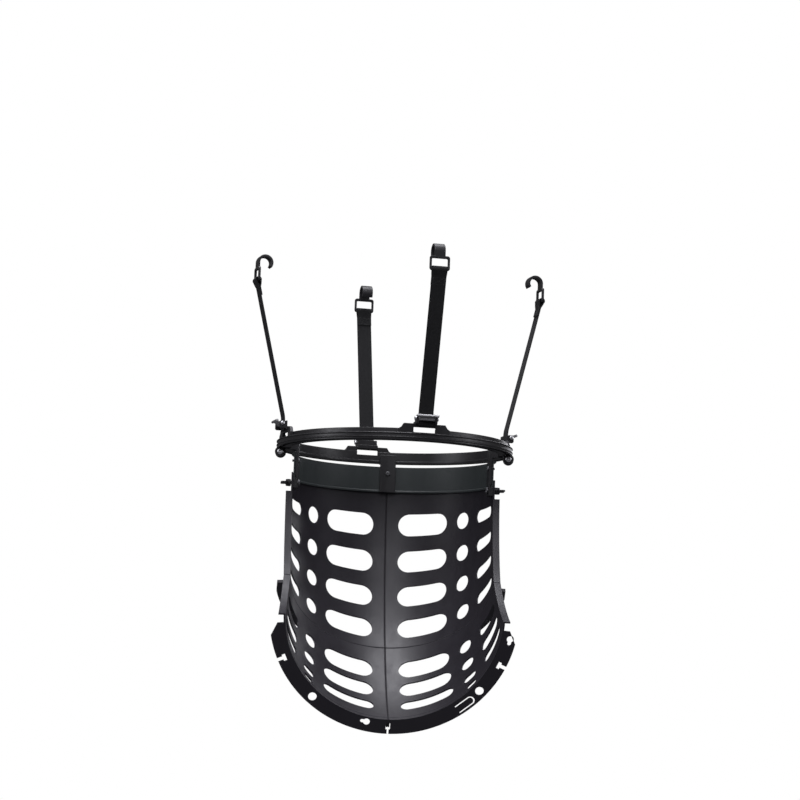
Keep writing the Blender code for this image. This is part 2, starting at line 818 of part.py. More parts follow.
def slot_cutter(bend, height, first, last):
    """Round ended slot that follows the wall, cut square to it."""
    middle = (first + last) / 2
    radius = section_radius(bend)
    half_length = radians(last - first) / 2 * radius
    half_height = height / 2
    reach = bend_offset + radius * cos(radians(middle))
    end = min(half_height, half_length)
    quarter = [radians(90 * i / slot_end_steps) for i in range(slot_end_steps + 1)]
    stops = [(half_length - end + end * cos(t), half_height * sin(t)) for t in quarter]
    left = [(-s, h) for s, h in stops]
    inner_turns = max(1, round((half_length - end) / (radius * radians(90 / panel_arc_steps))))
    between = [((half_length - end) * (2 * i / inner_turns - 1), half_height) for i in range(1, inner_turns)]
    line = left + between + list(reversed(stops))
    body = bmesh.new()
    layers = []
    for offset in (-cut_overrun, chute_wall + cut_overrun):
        upper, lower = [], []
        for along, rise in line:
            turn = radians(middle) + along / radius
            out = radius + offset
            spread = degrees(rise / reach)
            point = Vector((out * sin(turn), out * cos(turn), 0))
            upper.append(body.verts.new(section_place(bend - spread) @ point))
            if rise < fit_gap / 10:
                lower.append(upper[-1])
            else:
                lower.append(body.verts.new(section_place(bend + spread) @ point))
        layers.append((upper, lower))
    for upper, lower in layers:
        for i in range(len(upper) - 1):
            ring = [upper[i], upper[i + 1], lower[i + 1], lower[i]]
            body.faces.new(list(dict.fromkeys(ring)))
    for side in (0, 1):
        near, far = layers[0][side], layers[1][side]
        for i in range(len(near) - 1):
            body.faces.new((near[i], near[i + 1], far[i + 1], far[i]))
    return mesh_of(body)


def flange_plate(side, bend, inner, outer, set_back):
    """Flat flange in a cross section, cut off at a slant beside the free edge."""
    start = fit_gap / 2 + chute_wall / 2
    corner = 90 - flange_corner_angle
    cut = corner - flange_corner_fall
    last = 90 - degrees(asin(start / outer))
    points = [(start, sqrt(inner ** 2 - start ** 2))]
    points += arc(inner, seam_side_angle, cut, step=flange_arc_step)
    points += arc(min(flange_corner_radius, outer - plain_fillet), cut, cut)[:1]
    points += arc(outer, corner, last, step=flange_arc_step)
    outline = [(side * x, y) for x, y in points]
    shift = Matrix.Translation((0, 0, set_back))
    return moved(plate(outline, [], chute_wall), section_place(bend) @ shift)


def at_polar(radius, angle):
    """Point in a cross section, the angle counted from the rear towards +X."""
    return Vector((radius * sin(radians(angle)), radius * cos(radians(angle))))


def lip_tool(outline):
    """Cutter through the lip flange with the given outline."""
    return moved(plate(outline, [], 2 * (chute_wall + cut_overrun)), section_place(lip_bend))


def local_outline(points, radius, angle):
    """Outline given along and out from a point of the lip flange."""
    spot = at_polar(radius, angle)
    out = spot.normalized()
    along = Vector((out.y, -out.x))
    return [tuple(spot + along * x + out * y) for x, y in points]


def keyhole(slot_side):
    """Round hole with a narrow slot on one side."""
    neck = degrees(asin(keyhole_slot_radius / keyhole_radius))
    big = arc(keyhole_radius, neck, 360 - neck, step=30)
    small = arc(keyhole_slot_radius, -90, 90, (keyhole_length - keyhole_slot_radius, 0), 30)
    return [(slot_side * x, y) for x, y in big + small]


def notch():
    """T notch that opens at the flange's outer edge."""
    top = cut_overrun
    neck, head = -notch_neck_depth, -notch_neck_depth - notch_head_depth
    half = [(notch_neck_half, top), (notch_neck_half, neck)]
    half += [(notch_head_half, neck), (notch_head_half, head)]
    return half + [(-x, y) for x, y in reversed(half)]


def tongue():
    """Hairpin slit that frees a spring tongue."""
    outer, inner = tongue_half_gap + tongue_stroke / 2, tongue_half_gap - tongue_stroke / 2
    bend = tongue_half_length - tongue_half_gap
    far = -tongue_half_length
    outside = arc(outer, -90, 90, (bend, 0), 30) + [(far, outer), (far, inner)]
    return outside + arc(inner, 90, -90, (bend, 0), 30) + [(far, -inner), (far, -outer)]


def lip_features(side):
    """Cutters for the holes, keyholes and notches of the lip flange."""
    rim = lip_flange_radius
    tools = [lip_tool(local_outline(notch(), rim, side * notch_angle))]
    if side > 0:
        features = [(circle(lip_hole_radius), lip_hole_centre, lip_hole_right),
                    (keyhole(-1), side_keyhole_centre, side_keyhole_angle),
                    (tongue(), tongue_centre, tongue_angle)]
    else:
        features = [(circle(lip_hole_radius), lip_hole_centre, -lip_hole_left),
                    (keyhole(-1), low_keyhole_centre, -low_keyhole_angle)]
    tools += [lip_tool(local_outline(*feature)) for feature in features]
    low = lip_radius + chute_wall + seam_notch_start
    near, far = side * -fit_gap, side * seam_notch_half
    tools.append(lip_tool([(near, low), (far, low), (far, seam_notch_end), (near, seam_notch_end)]))
    return tools


def wall_slots(side, rows, heights):
    """Cutters for a panel's slots and round holes, row by row."""
    tools = []
    hole_turn = degrees(round_hole / 2 / chute_radius)
    for bend, (long_height, outer_height) in zip(rows, heights):
        spans = ((long_slot_angles, long_height), (outer_slot_angles, outer_height),
                 ((round_hole_angle - hole_turn, round_hole_angle + hole_turn), round_hole))
        for (first, last), height in spans:
            low, high = sorted((side * first, side * last))
            tools.append(slot_cutter(bend, height, low, high))
    return tools


def seam_bolt_place(bend):
    """Matrix of a seam bolt: its local Z runs along +X."""
    spot = Vector((0, section_radius(bend) + seam_bolt_rise, 0))
    return section_place(bend) @ Matrix.Translation(spot) @ along_x


def joint_bolt_place(angle):
    """Matrix of a bolt through the joint flanges: its local Z runs up the chute."""
    spot = at_polar(joint_bolt_centre, angle)
    return section_place(joint_bend) @ Matrix.Translation((spot.x, spot.y, 0))


def through_bar(radius):
    """Bar that cuts a bolt hole through two walls at once."""
    return round_bar(radius, -chute_wall - cut_overrun, chute_wall + cut_overrun)


def spaced(first, last, steps):
    """Evenly spaced bends, both ends included, with no lift."""
    return [(first + (last - first) * i / steps, 0.0) for i in range(steps + 1)]


def build_chute(build):
    """Four panels: upper and lower, left and right."""
    end_gap = bend_of(fit_gap / 2)
    upper_end, lower_start = joint_bend - end_gap, joint_bend + end_gap
    upper_stations = [(0.0, chute_overlap)] + spaced(0.0, upper_end, upper_bend_steps)
    lower_stations = spaced(lower_start, lip_bend, lower_bend_steps)
    upper_heights = [(long_slot_height, outer_slot_height)] * len(upper_rows)
    lower_heights = [(long_slot_height, low_outer_slot_height), (low_slot_height, low_outer_slot_height),
                     (lip_slot_height, lip_outer_slot_height)]
    set_back = chute_wall / 2 + flange_set_back
    lip_shift = chute_wall / 2 + lip_flange_set_back
    joint_inner = chute_radius + chute_wall / 2
    drill = panel_bolt_radius + fit_gap
    for side, hand in ((-1, "left"), (1, "right")):
        upper = build.part("chute_upper_" + hand, panel_shell(side, upper_stations), "plastic")
        add_wall(upper)
        flange = flange_plate(side, upper_end, joint_inner, joint_flange_radius, set_back)
        build.shape(upper, flange, "UNION")
        tools = wall_slots(side, upper_rows, upper_heights)
        tools += [moved(through_bar(drill), joint_bolt_place(side * angle)) for angle in joint_bolt_angles]
        tools += [moved(through_bar(drill), seam_bolt_place(bend)) for bend in seam_bolt_rows[:2]]
        side_hole = Matrix.Translation((side * chute_radius, side_bolt_y(), side_bolt_level)) @ along_x
        tools.append(moved(through_bar(side_bolt_radius + fit_gap), side_hole))
        cut_flange = wing_span + side_bolt_drop + wing_thickness / 2
        near = side * (chute_radius + chute_wall + fit_gap)
        far = side * (chute_radius + edge_flange + cut_overrun)
        low = (min(near, far), -cut_overrun, chute_level - cut_flange)
        high = (max(near, far), chute_wall + cut_overrun, chute_level + chute_overlap + cut_overrun)
        tools.append(block(low, high))
        build.shape(upper, joined(tools), "DIFFERENCE")

        lower = build.part("chute_lower_" + hand, panel_shell(side, lower_stations), "plastic")
        add_wall(lower)
        flange = flange_plate(side, lower_start, joint_inner, joint_flange_radius, -set_back)
        build.shape(lower, flange, "UNION")
        flange = flange_plate(side, lip_bend, lip_radius + chute_wall / 2, lip_flange_radius, lip_shift)
        build.shape(lower, flange, "UNION")
        tools = wall_slots(side, lower_rows, lower_heights)
        tools += [moved(through_bar(drill), joint_bolt_place(side * angle)) for angle in joint_bolt_angles]
        tools += [moved(through_bar(drill), seam_bolt_place(bend)) for bend in seam_bolt_rows[2:]]
        half_turn = degrees(round_hole / 2 / chute_radius)
        ends = sorted((side * (round_hole_angle - half_turn), side * (round_hole_angle + half_turn)))
        tools.append(slot_cutter(lip_hole_row, lip_hole_height, *ends))
        tools += lip_features(side)
        build.shape(lower, joined(tools), "DIFFERENCE")


def add_wall(panel):
    """Give a panel's surface its thickness, on the outer side."""
    wall = panel.modifiers.new("wall", "SOLIDIFY")
    wall.thickness = chute_wall
    wall.offset = 1.0
    wall.use_even_offset = True
    wall.use_rim = True


def build_panel_bolts(build):
    """Bolts and nuts of the rear seam and of the joint between upper and lower panels."""
    grip = fit_gap / 2 + chute_wall + fit_gap
    for count, bend in enumerate(seam_bolt_rows, start=1):
        place = seam_bolt_place(bend)
        length = 2 * grip + panel_nut_height + panel_bolt_tail
        bolt = bolt_mesh(panel_bolt_radius, length, panel_bolt_head_radius, panel_bolt_head_height)
        nut = nut_mesh(panel_nut_radius, panel_nut_height, panel_bolt_radius + fit_gap)
        build.part("seam_bolt_%d" % count, bolt, "steel", place @ Matrix.Translation((0, 0, grip)))
        build.part("seam_nut_%d" % count, nut, "steel",
                   place @ Matrix.Translation((0, 0, -grip)) @ Matrix.Rotation(pi, 4, "X"))
    grip = fit_gap / 2 + flange_set_back + chute_wall + fit_gap
    names = ("left_outer", "left_inner", "right_inner", "right_outer")
    outer, inner = max(joint_bolt_angles), min(joint_bolt_angles)
    for name, angle in zip(names, (-outer, -inner, inner, outer)):
        place = joint_bolt_place(angle)
        length = 2 * grip + panel_nut_height + panel_bolt_tail
        bolt = bolt_mesh(panel_bolt_radius, length, panel_bolt_head_radius, panel_bolt_head_height)
        nut = nut_mesh(panel_nut_radius, panel_nut_height, panel_bolt_radius + fit_gap)
        build.part("joint_bolt_" + name, bolt, "steel", place @ Matrix.Translation((0, 0, grip)))
        build.part("joint_nut_" + name, nut, "steel",
                   place @ Matrix.Translation((0, 0, -grip)) @ Matrix.Rotation(pi, 4, "X"))


def wing_outline():
    """Front view of the two wings, hub side down."""
    tip_x, tip_y = wing_span - wing_tip_radius, wing_height - wing_tip_radius
    right = [(wing_hub_radius / 2, wing_root)]
    right += [(wing_hub_radius, wing_root)] + arc(wing_tip_radius, -60, 120, (tip_x, tip_y), 30)
    right += [(wing_hub_radius / 2, wing_hub_height - fit_gap)]
    return right + [(-x, y) for x, y in reversed(right)]


def build_side_bolts(build):
    """Side bolts and their wing nuts, where the chute hangs from the side clips."""
    y = side_bolt_y()
    wall_face = chute_radius + chute_wall + fit_gap
    bore = side_bolt_radius + fit_gap
    edge = wing_hub_height / 8
    for side, hand in ((-1, "left"), (1, "right")):
        out = along_x if side > 0 else Matrix.Rotation(-pi / 2, 4, "Y")
        head_seat = sqrt(clip_inner_radius ** 2 - (y + side_bolt_head_radius) ** 2) - fit_gap
        head = Matrix.Translation((side * head_seat, y, side_bolt_level)) @ out @ Matrix.Rotation(pi, 4, "X")
        length = wall_face - head_seat + wing_hub_height + side_bolt_tail
        bolt = bolt_mesh(side_bolt_radius, length, side_bolt_head_radius, side_bolt_head_height)
        build.part("side_bolt_" + hand, bolt, "steel", head)
        seat = Matrix.Translation((side * wall_face, y, side_bolt_level)) @ out
        hub = turned([(bore, wing_hub_height), (wing_hub_radius - edge, wing_hub_height),
                      (wing_hub_radius, wing_hub_height / 2), (wing_hub_radius, edge),
                      (wing_hub_radius - edge, 0), (bore, 0), (bore, wing_hub_height)])
        wing_nut = build.part("wing_nut_" + hand, hub, "plastic", seat)
        wings = plate(wing_outline(), [], wing_thickness)
        lift = Matrix.Rotation(pi / 2, 4, "Z") @ side_on
        build.shape(wing_nut, moved(wings, seat @ lift), "UNION")
        clear = round_bar(bore, -cut_overrun, wing_height + cut_overrun)
        build.shape(wing_nut, moved(clear, seat), "DIFFERENCE")


def main():
    """Model the whole part."""
    clear_scene()
    build = Builder()
    build.carry_on("hanger_axis")
    build_ring(build)
    build_ring_bolts(build)
    build_hooks(build)
    build_straps(build)
    build_buckles(build)
    build.carry_on("swivel_axis")
    build_collar(build)
    build_chute(build)
    build_panel_bolts(build)
    build_side_bolts(build)


main()
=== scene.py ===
"""Dressed model of a ball return that hangs under a basketball hoop.

The ring hangs on four webbing straps, and the slotted half-round chute swivels under it.
Lengths are in metres, angles in degrees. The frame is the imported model's own: the origin is
the centre of the hoop's rod circle, +Z is up and the chute's mouth faces -Y.
"""

from math import asin, cos, degrees, pi, radians, sin, sqrt, tan

import bmesh
import bpy
from mathutils import Matrix, Vector


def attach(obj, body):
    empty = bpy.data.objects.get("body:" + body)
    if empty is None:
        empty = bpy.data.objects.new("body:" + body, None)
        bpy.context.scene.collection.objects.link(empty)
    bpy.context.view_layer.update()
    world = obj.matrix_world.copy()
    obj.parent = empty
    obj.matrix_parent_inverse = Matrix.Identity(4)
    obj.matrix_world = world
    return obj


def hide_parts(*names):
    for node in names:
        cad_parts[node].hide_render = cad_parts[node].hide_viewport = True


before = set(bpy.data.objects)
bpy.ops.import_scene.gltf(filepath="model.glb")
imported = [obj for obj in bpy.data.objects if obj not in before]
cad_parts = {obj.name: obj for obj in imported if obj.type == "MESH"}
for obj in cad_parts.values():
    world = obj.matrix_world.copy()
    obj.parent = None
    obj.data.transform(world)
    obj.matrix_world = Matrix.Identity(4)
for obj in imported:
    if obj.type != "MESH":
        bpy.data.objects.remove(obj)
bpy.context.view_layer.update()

# Ring
FIT_GAP = 0.0003
HANGER_TURN = -4.0
STRAP_ANGLES = {"front": 281.0, "right": 11.0, "rear": 101.0, "left": 191.0}
RING_OUTER, RING_INNER = 0.196, 0.182
RING_TOP, RING_BOTTOM = -0.281, -0.3005
RING_WALL, RING_STEP = 0.005, 0.0077
BEAD_HEIGHT, BEAD_HALF, BEAD_PITCH = 0.0012, 0.0014, 0.0065
CHANNEL_WIDTH, CHANNEL_DEPTH = 0.006, 0.006
RAIL_RADIUS, RAIL_THICKNESS = 0.173, 0.004
EAR_BASE, EAR_TIP, EAR_HEIGHT, EAR_THICKNESS, EAR_ROOT = 0.084, 0.069, 0.008, 0.005, 0.009
EAR_INSET, EAR_SAG = 0.0002, 0.002
EAR_CENTRE = RING_INNER + EAR_INSET + EAR_THICKNESS / 2
WINDOW_WIDTH, WINDOW_HEIGHT, WINDOW_RISE, WINDOW_CORNER = 0.037, 0.0084, 0.0024, 0.0015
WINDOW_CUT_IN, WINDOW_CUT_OUT = -0.014, 0.028
LUG_RADIUS, LUG_LENGTH, LUG_INSET, LUG_LEVEL = 0.009, 0.009, 0.007, -0.3063
LUG_INNER_EDGE, LUG_OUTER_EDGE = 0.0004, 0.0012
RING_BOLT = {"radius": 0.003, "head": 0.0052, "head_height": 0.0035, "nut": 0.0055, "nut_height": 0.005}

# Hooks, straps and buckles
CROOK_RADIUS, HOOK_THICKNESS, HOOK_WIDTH, HOOK_TIP, HOOK_LEG = 0.009, 0.0045, 0.018, 218.0, 0.010
CROOK_RELIEF = 0.0002
LOOP_WIDTH, LOOP_HEIGHT, LOOP_SIDE, LOOP_BAR = 0.0335, 0.024, 0.0035, 0.0045
LOOP_CORNER, LOOP_OVERLAP = 0.004, 0.002
LEG_RADIUS, BAR_LEVEL = 0.24425, -0.02975
WEBBING_WIDTH, WEBBING_THICKNESS, WEBBING_PLAY = 0.025, 0.0016, 0.0005
WEBBING_NECK, WEBBING_DOUBLED, WEBBING_KNEE = 0.012, 0.026, 0.026
KNEE_START, KNEE_END = 0.008, 0.003
WRAP_FIRST, WRAP_LAST, WRAP_STEPS = 62.0, 298.0, 24
STITCH_PITCH, STITCH_MARGIN, STITCH_SIDE, STITCH_PROUD = 0.0029, 0.0015, 0.003, 0.0001
BUCKLE_WIDTH, BUCKLE_PLATE, BUCKLE_LIP_DROP, BUCKLE_FOOT_GAP = 0.035, 0.0025, 0.004, 0.005
EAR_TOP = RING_TOP + EAR_HEIGHT
BUCKLE_RISE, PIN_REACH, PIN_RISE = 0.012, 0.0062, 0.0075
BUCKLE_TOP = EAR_TOP + BUCKLE_RISE
EAR_OUTER = EAR_CENTRE + EAR_THICKNESS / 2
BUCKLE_FACE = EAR_OUTER + FIT_GAP + BUCKLE_PLATE
WEBBING_FOOT_RADIUS = BUCKLE_FACE + WEBBING_PLAY + WEBBING_THICKNESS / 2
CHEEK_THICKNESS, CHEEK_HEIGHT, CHEEK_REACH, CHEEK_CORNER = 0.0035, 0.0135, 0.0105, 0.003
PIN_RADIUS, PIN_HEAD, PIN_HEAD_HEIGHT = 0.002, 0.0036, 0.0022
PIN_PLACE, PIN_LEVEL = BUCKLE_FACE + PIN_REACH, EAR_TOP + PIN_RISE
CAM_RADIUS, TAB_LENGTH, TAB_THICKNESS, TAB_ANGLE, LEVER_PLAY = 0.0034, 0.0115, 0.0024, 25.0, 0.0006
THUMB_WIDTH, THUMB_DEPTH, THUMB_THICKNESS, THUMB_CORNER = 0.037, 0.0037, 0.004, 0.0012
GRIP_PITCH, GRIP_WIDTH, GRIP_RISE, GRIPS_EACH_SIDE = 0.002, 0.0009, 0.0004, 8

# Collar and clips
CHUTE_RADIUS, LIP_RADIUS, WALL, BEND_OFFSET = 0.1665, 0.1755, 0.0026, 0.2525
COLLAR_TOP, CHUTE_LEVEL = -0.308, -0.352
COLLAR_OUTER = CHUTE_RADIUS - FIT_GAP
COLLAR_WALL = 0.0025
COLLAR_INNER = COLLAR_OUTER - COLLAR_WALL
COLLAR_RIB, RIB_HEIGHT, COLLAR_BEAD, COLLAR_BEAD_HEIGHT = 0.004, 0.003, 0.0012, 0.003
CLIP_WIDTH, CLIP_PLATE, CLIP_FINGER = 0.027, 0.0045, 0.004
CLIP_REACH, CLIP_RISE, CLIP_FOOT = 0.007, 0.004, 0.014
FACETS_PER_QUARTER = 11
FACET_SLACK = cos(radians(90 / FACETS_PER_QUARTER / 2))
CLIP_OUTER = COLLAR_INNER * FACET_SLACK - FIT_GAP
CLIP_INNER = CLIP_OUTER - CLIP_PLATE
FOOT_OUTER = CHUTE_RADIUS * FACET_SLACK - FIT_GAP
SIDE_CLIP_ANGLE = 86.5
CLIP_ANGLES = {"rear": 0.0, "left": -SIDE_CLIP_ANGLE, "right": SIDE_CLIP_ANGLE}
CLIP_SCREW = {"radius": 0.002, "head": 0.004, "head_height": 0.0022}
CLIP_SCREW_DROP, CLIP_SCREW_END = 0.012, 0.003
CLIP_SCREW_LEVEL = COLLAR_TOP - CLIP_SCREW_DROP

# Chute
JOINT_BEND, LIP_BEND, OVERLAP = 40.0, 66.5, 0.012
EDGE_FLANGE, SEAM_FLANGE = 0.011, 0.016
SET_BACK, LIP_SET_BACK = 0.0004, 0.0001
JOINT_FLANGE, LIP_FLANGE, CORNER_RADIUS = 0.191, 0.2005, 0.188
CORNER_ANGLE, CORNER_FALL, SEAM_SIDE = 79.0, 6.0, 86.0
LONG_SPAN, ROUND_PLACE, ROUND_SIZE, OUTER_SPAN = (7.3, 37.4), 49.1, 0.028, (61.6, 83.0)
COLUMN_BOUNDS = (0.0, 41.0, 57.5, 90.0)
FLANGE_CLEAR_BEND = 4.42
UPPER_BOUNDS = (FLANGE_CLEAR_BEND, 12.075, 21.025, 29.975, 39.98)
LOWER_BOUNDS = (40.02, 50.5, 57.15, 62.85)
# Each row: its bend, then the heights of its long slot, outer slot and small hole
UPPER_ROWS = [(bend, 0.0375, 0.020, ROUND_SIZE) for bend in (7.6, 16.55, 25.5, 34.45)]
LOWER_ROWS = [(47.0, 0.0375, 0.021, 0.025), (54.0, 0.034, 0.021, 0.0225), (60.3, 0.024, 0.016, 0.015)]
LOW_ROUND_LENGTH = 0.0255
LIP_HOLE_ROW, LIP_HOLE_LENGTH, LIP_HOLE_HEIGHT = 64.2, 0.020, 0.010
LIP_HOLE_RADIUS = 0.007
# Features of the lip flange: radius from its centre, then angle from the seam
LEFT_HOLE_PLACE, LEFT_KEYHOLE_PLACE = (0.188, -41.6), (0.184, -11.0)
RIGHT_HOLE_PLACE, RIGHT_KEYHOLE_PLACE, TONGUE_PLACE = (0.188, 50.2), (0.1905, 81.0), (0.1895, 40.5)
JOINT_LINE_FALL, SEAM_LINE_FALL, LIP_GROOVE_BEND, LIP_GROOVE_FALL = 4.0, 1.5, 65.4, 6.0
NOTCH_ANGLE, NOTCH_NECK_HALF, NOTCH_NECK_DEPTH = 66.5, 0.003, 0.009
NOTCH_HEAD_HALF, NOTCH_HEAD_DEPTH = 0.0058, 0.0055
SEAM_NOTCH_HALF, SEAM_NOTCH_RISE, SEAM_NOTCH_END, SEAM_NOTCH_DEPTH = 0.0036, 0.004, 0.193, 0.0066
PANEL_BOLT = {"radius": 0.002, "head": 0.004, "head_height": 0.0025, "nut": 0.004, "nut_height": 0.003}
SEAM_BOLT_BENDS, SEAM_BOLT_RISE = (12.0, 30.0, 50.6), 0.0105
JOINT_BOLT_RADIUS, JOINT_BOLT_ANGLES = 0.181, (-62.0, -24.0, 24.0, 62.0)
SIDE_BOLT = {"radius": 0.003, "head": 0.006, "head_height": 0.003}
SIDE_BOLT_DROP, SIDE_BOLT_END, PANEL_BOLT_END = 0.005, 0.0015, 0.001
SIDE_BOLT_Y, SIDE_BOLT_LEVEL = CLIP_INNER * cos(radians(SIDE_CLIP_ANGLE)), CHUTE_LEVEL - SIDE_BOLT_DROP
WING_HUB, WING_HUB_HEIGHT, WING_SPAN, WING_ROOT = 0.006, 0.0085, 0.013, 0.004
WING_HEIGHT, WING_THICKNESS, WING_TIP = 0.017, 0.003, 0.0045

# Fineness of the meshes
SLOT_SIDE_STEPS = 16
SLOT_RINGS = (0.0, 0.16, 0.5, 1.0)
RING_ARC_STEPS = 96
SMOOTH_BELOW = 35.0

FACE_ON = Matrix(((0, 0, 1, 0), (1, 0, 0, 0), (0, 1, 0, 0), (0, 0, 0, 1)))
SIDE_ON = Matrix.Rotation(pi / 2, 4, "X")
ALONG_X, AGAINST_X = Matrix.Rotation(pi / 2, 4, "Y"), Matrix.Rotation(-pi / 2, 4, "Y")
ALONG_Y = Matrix.Rotation(-pi / 2, 4, "X")


# Node trees

class Value:
    """A socket that takes part in Python expressions."""

    def __init__(self, graph, socket):
        self.graph, self.socket = graph, socket

    def math(self, operation, *others):
        return self.graph.node("ShaderNodeMath", {"operation": operation},
                               dict(enumerate((self,) + others)))

    def __add__(self, other):
        return self.math("ADD", other)

    def __sub__(self, other):
        return self.math("SUBTRACT", other)

    def __rsub__(self, other):
        return self.graph.node("ShaderNodeMath", {"operation": "SUBTRACT"}, {0: other, 1: self})

    def __mul__(self, other):
        return self.math("MULTIPLY", other)

    def __truediv__(self, other):
        return self.math("DIVIDE", other)

    def __pow__(self, other):
        return self.math("POWER", other)

    __radd__ = __add__

    def at_least(self, other):
        return self.math("MAXIMUM", other)

    def at_most(self, other):
        return self.math("MINIMUM", other)

    def sine(self):
        return self.math("SINE")

    def cosine(self):
        return self.math("COSINE")

    def size(self):
        return self.math("ABSOLUTE")

    def fraction(self):
        return self.math("FRACT")

    def out(self, name):
        """Another output of the same node."""
        return Value(self.graph, self.graph.pick(self.socket.node.outputs, name))


class Graph:
    """Adds nodes to one tree."""

    def __init__(self, tree):
        self.tree = tree

    def pick(self, sockets, key):
        if isinstance(key, int):
            return sockets[key]
        for socket in sockets:
            if socket.identifier == key and socket.enabled:
                return socket
        for socket in sockets:
            if socket.name == key and socket.enabled:
                return socket
        raise KeyError(key)

    def node(self, kind, settings=None, values=None):
        """Add a node: its settings first, then the values or links of its sockets."""
        made = self.tree.nodes.new(kind)
        for name, setting in (settings or {}).items():
            setattr(made, name, setting)
        for key, value in (values or {}).items():
            socket = self.pick(made.inputs, key)
            if isinstance(value, Value):
                self.tree.links.new(value.socket, socket)
            else:
                socket.default_value = value
        enabled = [socket for socket in made.outputs if socket.enabled]
        return Value(self, enabled[0]) if enabled else made

    def attribute(self, name):
        return self.node("ShaderNodeAttribute", {"attribute_name": name}).out("Fac")

    def mixed(self, factor, first, second):
        """Mix of two colours."""
        return self.node("ShaderNodeMix", {"data_type": "RGBA"},
                         {"Factor_Float": factor, "A_Color": first, "B_Color": second})


class Recipe(Graph):
    """A Geometry Nodes tree with named inputs, run on a base mesh."""

    def __init__(self, name, **inputs):
        super().__init__(bpy.data.node_groups.new(name, "GeometryNodeTree"))
        face = self.tree.interface
        face.new_socket("Geometry", in_out="INPUT", socket_type="NodeSocketGeometry")
        for key, kind in inputs.items():
            face.new_socket(key, in_out="INPUT", socket_type="NodeSocket" + kind)
        face.new_socket("Geometry", in_out="OUTPUT", socket_type="NodeSocketGeometry")
        self.entry = self.node("NodeGroupInput")

    def given(self, name):
        return self.entry.out(name)

    def field(self, name, kind="FLOAT"):
        return self.node("GeometryNodeInputNamedAttribute", {"data_type": kind}, {"Name": name})

    def stored(self, geometry, name, value):
        return self.node("GeometryNodeStoreNamedAttribute", {"data_type": "FLOAT", "domain": "POINT"},
                         {"Geometry": geometry, "Name": name, "Value": value})

    def instances(self, form, others):
        """The form of the named input object, set at every point."""
        info = self.node("GeometryNodeObjectInfo", {"transform_space": "ORIGINAL"},
                         {"Object": self.given(form)}).out("Geometry")
        return self.node("GeometryNodeInstanceOnPoints",
                         values={"Points": self.given("Geometry"), "Instance": info, **others})

    def close(self, geometry):
        """Realize what is instanced, set the finish and end the tree."""
        real = self.node("GeometryNodeRealizeInstances", values={"Geometry": geometry})
        done = self.node("GeometryNodeSetMaterial", values={"Geometry": real,
                                                           "Material": self.given("Finish")})
        self.node("NodeGroupOutput", values={"Geometry": done})

    def run(self, mesh, **inputs):
        """Plain mesh that the tree makes from a base mesh."""
        helper = bpy.data.objects.new("recipe", mesh)
        step = helper.modifiers.new("recipe", "NODES")
        step.node_group = self.tree
        for item in self.tree.interface.items_tree:
            if item.in_out == "INPUT" and item.name in inputs:
                step[item.identifier] = inputs[item.name]
        return settled(helper)


# Mesh helpers

def linked(name, data):
    """New object that is in the scene."""
    made = bpy.data.objects.new(name, data)
    bpy.context.scene.collection.objects.link(made)
    return made


def settled(helper):
    """Finished mesh of a helper object, which is removed."""
    bpy.context.scene.collection.objects.link(helper)
    graph = bpy.context.evaluated_depsgraph_get()
    made = bpy.data.meshes.new_from_object(helper.evaluated_get(graph))
    bpy.data.objects.remove(helper)
    return made


def store(mesh, name, values):
    """Keep one number for each point of a mesh."""
    mesh.attributes.new(name, "FLOAT", "POINT").data.foreach_set("value", values)


def worked(mesh, change):
    """Run a bmesh change on a mesh."""
    body = bmesh.new()
    body.from_mesh(mesh)
    change(body)
    body.to_mesh(mesh)
    body.free()
    return mesh


def closed(mesh, distance=1e-6):
    """Merge doubles and turn the faces outwards."""
    def change(body):
        bmesh.ops.remove_doubles(body, verts=body.verts, dist=distance)
        bmesh.ops.recalc_face_normals(body, faces=body.faces)
    return worked(mesh, change)


def moved(mesh, matrix):
    mesh.transform(matrix)
    return mesh


def joined(meshes):
    """One mesh from several."""
    body = bmesh.new()
    for item in meshes:
        body.from_mesh(item)
    made = bpy.data.meshes.new("joined")
    body.to_mesh(made)
    body.free()
    return made


def with_modifiers(mesh, *steps):
    """Mesh after modifiers given as (type, settings)."""
    helper = bpy.data.objects.new("helper", mesh)
    for kind, settings in steps:
        step = helper.modifiers.new(kind.lower(), kind)
        for name, value in settings.items():
            setattr(step, name, value)
    return settled(helper)


def cut(mesh, tool_mesh):
    """Mesh with another taken out of it."""
    tool = linked("tool", tool_mesh)
    made = with_modifiers(mesh, ("BOOLEAN", {"operation": "DIFFERENCE", "solver": "EXACT",
                                             "object": tool}))
    bpy.data.objects.remove(tool)
    return made


def soft_edges(mesh, width, angle):
    return with_modifiers(mesh, ("BEVEL", {"width": width, "segments": 2, "limit_method": "ANGLE",
                                           "angle_limit": radians(angle),
                                           "use_clamp_overlap": True}))


def block(low, high):
    size, centre = Vector(high) - Vector(low), (Vector(high) + Vector(low)) / 2
    made = bpy.data.meshes.new("block")
    def change(body):
        bmesh.ops.create_cube(body, size=1.0,
                              matrix=Matrix.Translation(centre) @ Matrix.Diagonal((*size, 1)))
    return worked(made, change)


def loop_mesh(points, cyclic=True):
    """Edges through points in a plane or in space."""
    made = bpy.data.meshes.new("loop")
    spots = [tuple(p) + (0,) * (3 - len(p)) for p in points]
    edges = [(i, i + 1) for i in range(len(spots) - 1)]
    if cyclic:
        edges.append((len(spots) - 1, 0))
    made.from_pydata(spots, edges, [])
    return made


def lathe(profile, steps=32):
    """Solid of revolution about Z from (radius, height) points."""
    screw = {"steps": steps, "render_steps": steps, "use_merge_vertices": True,
             "merge_threshold": 1e-6}
    made = with_modifiers(loop_mesh([(r, 0, z) for r, z in profile], False), ("SCREW", screw))
    return closed(made)


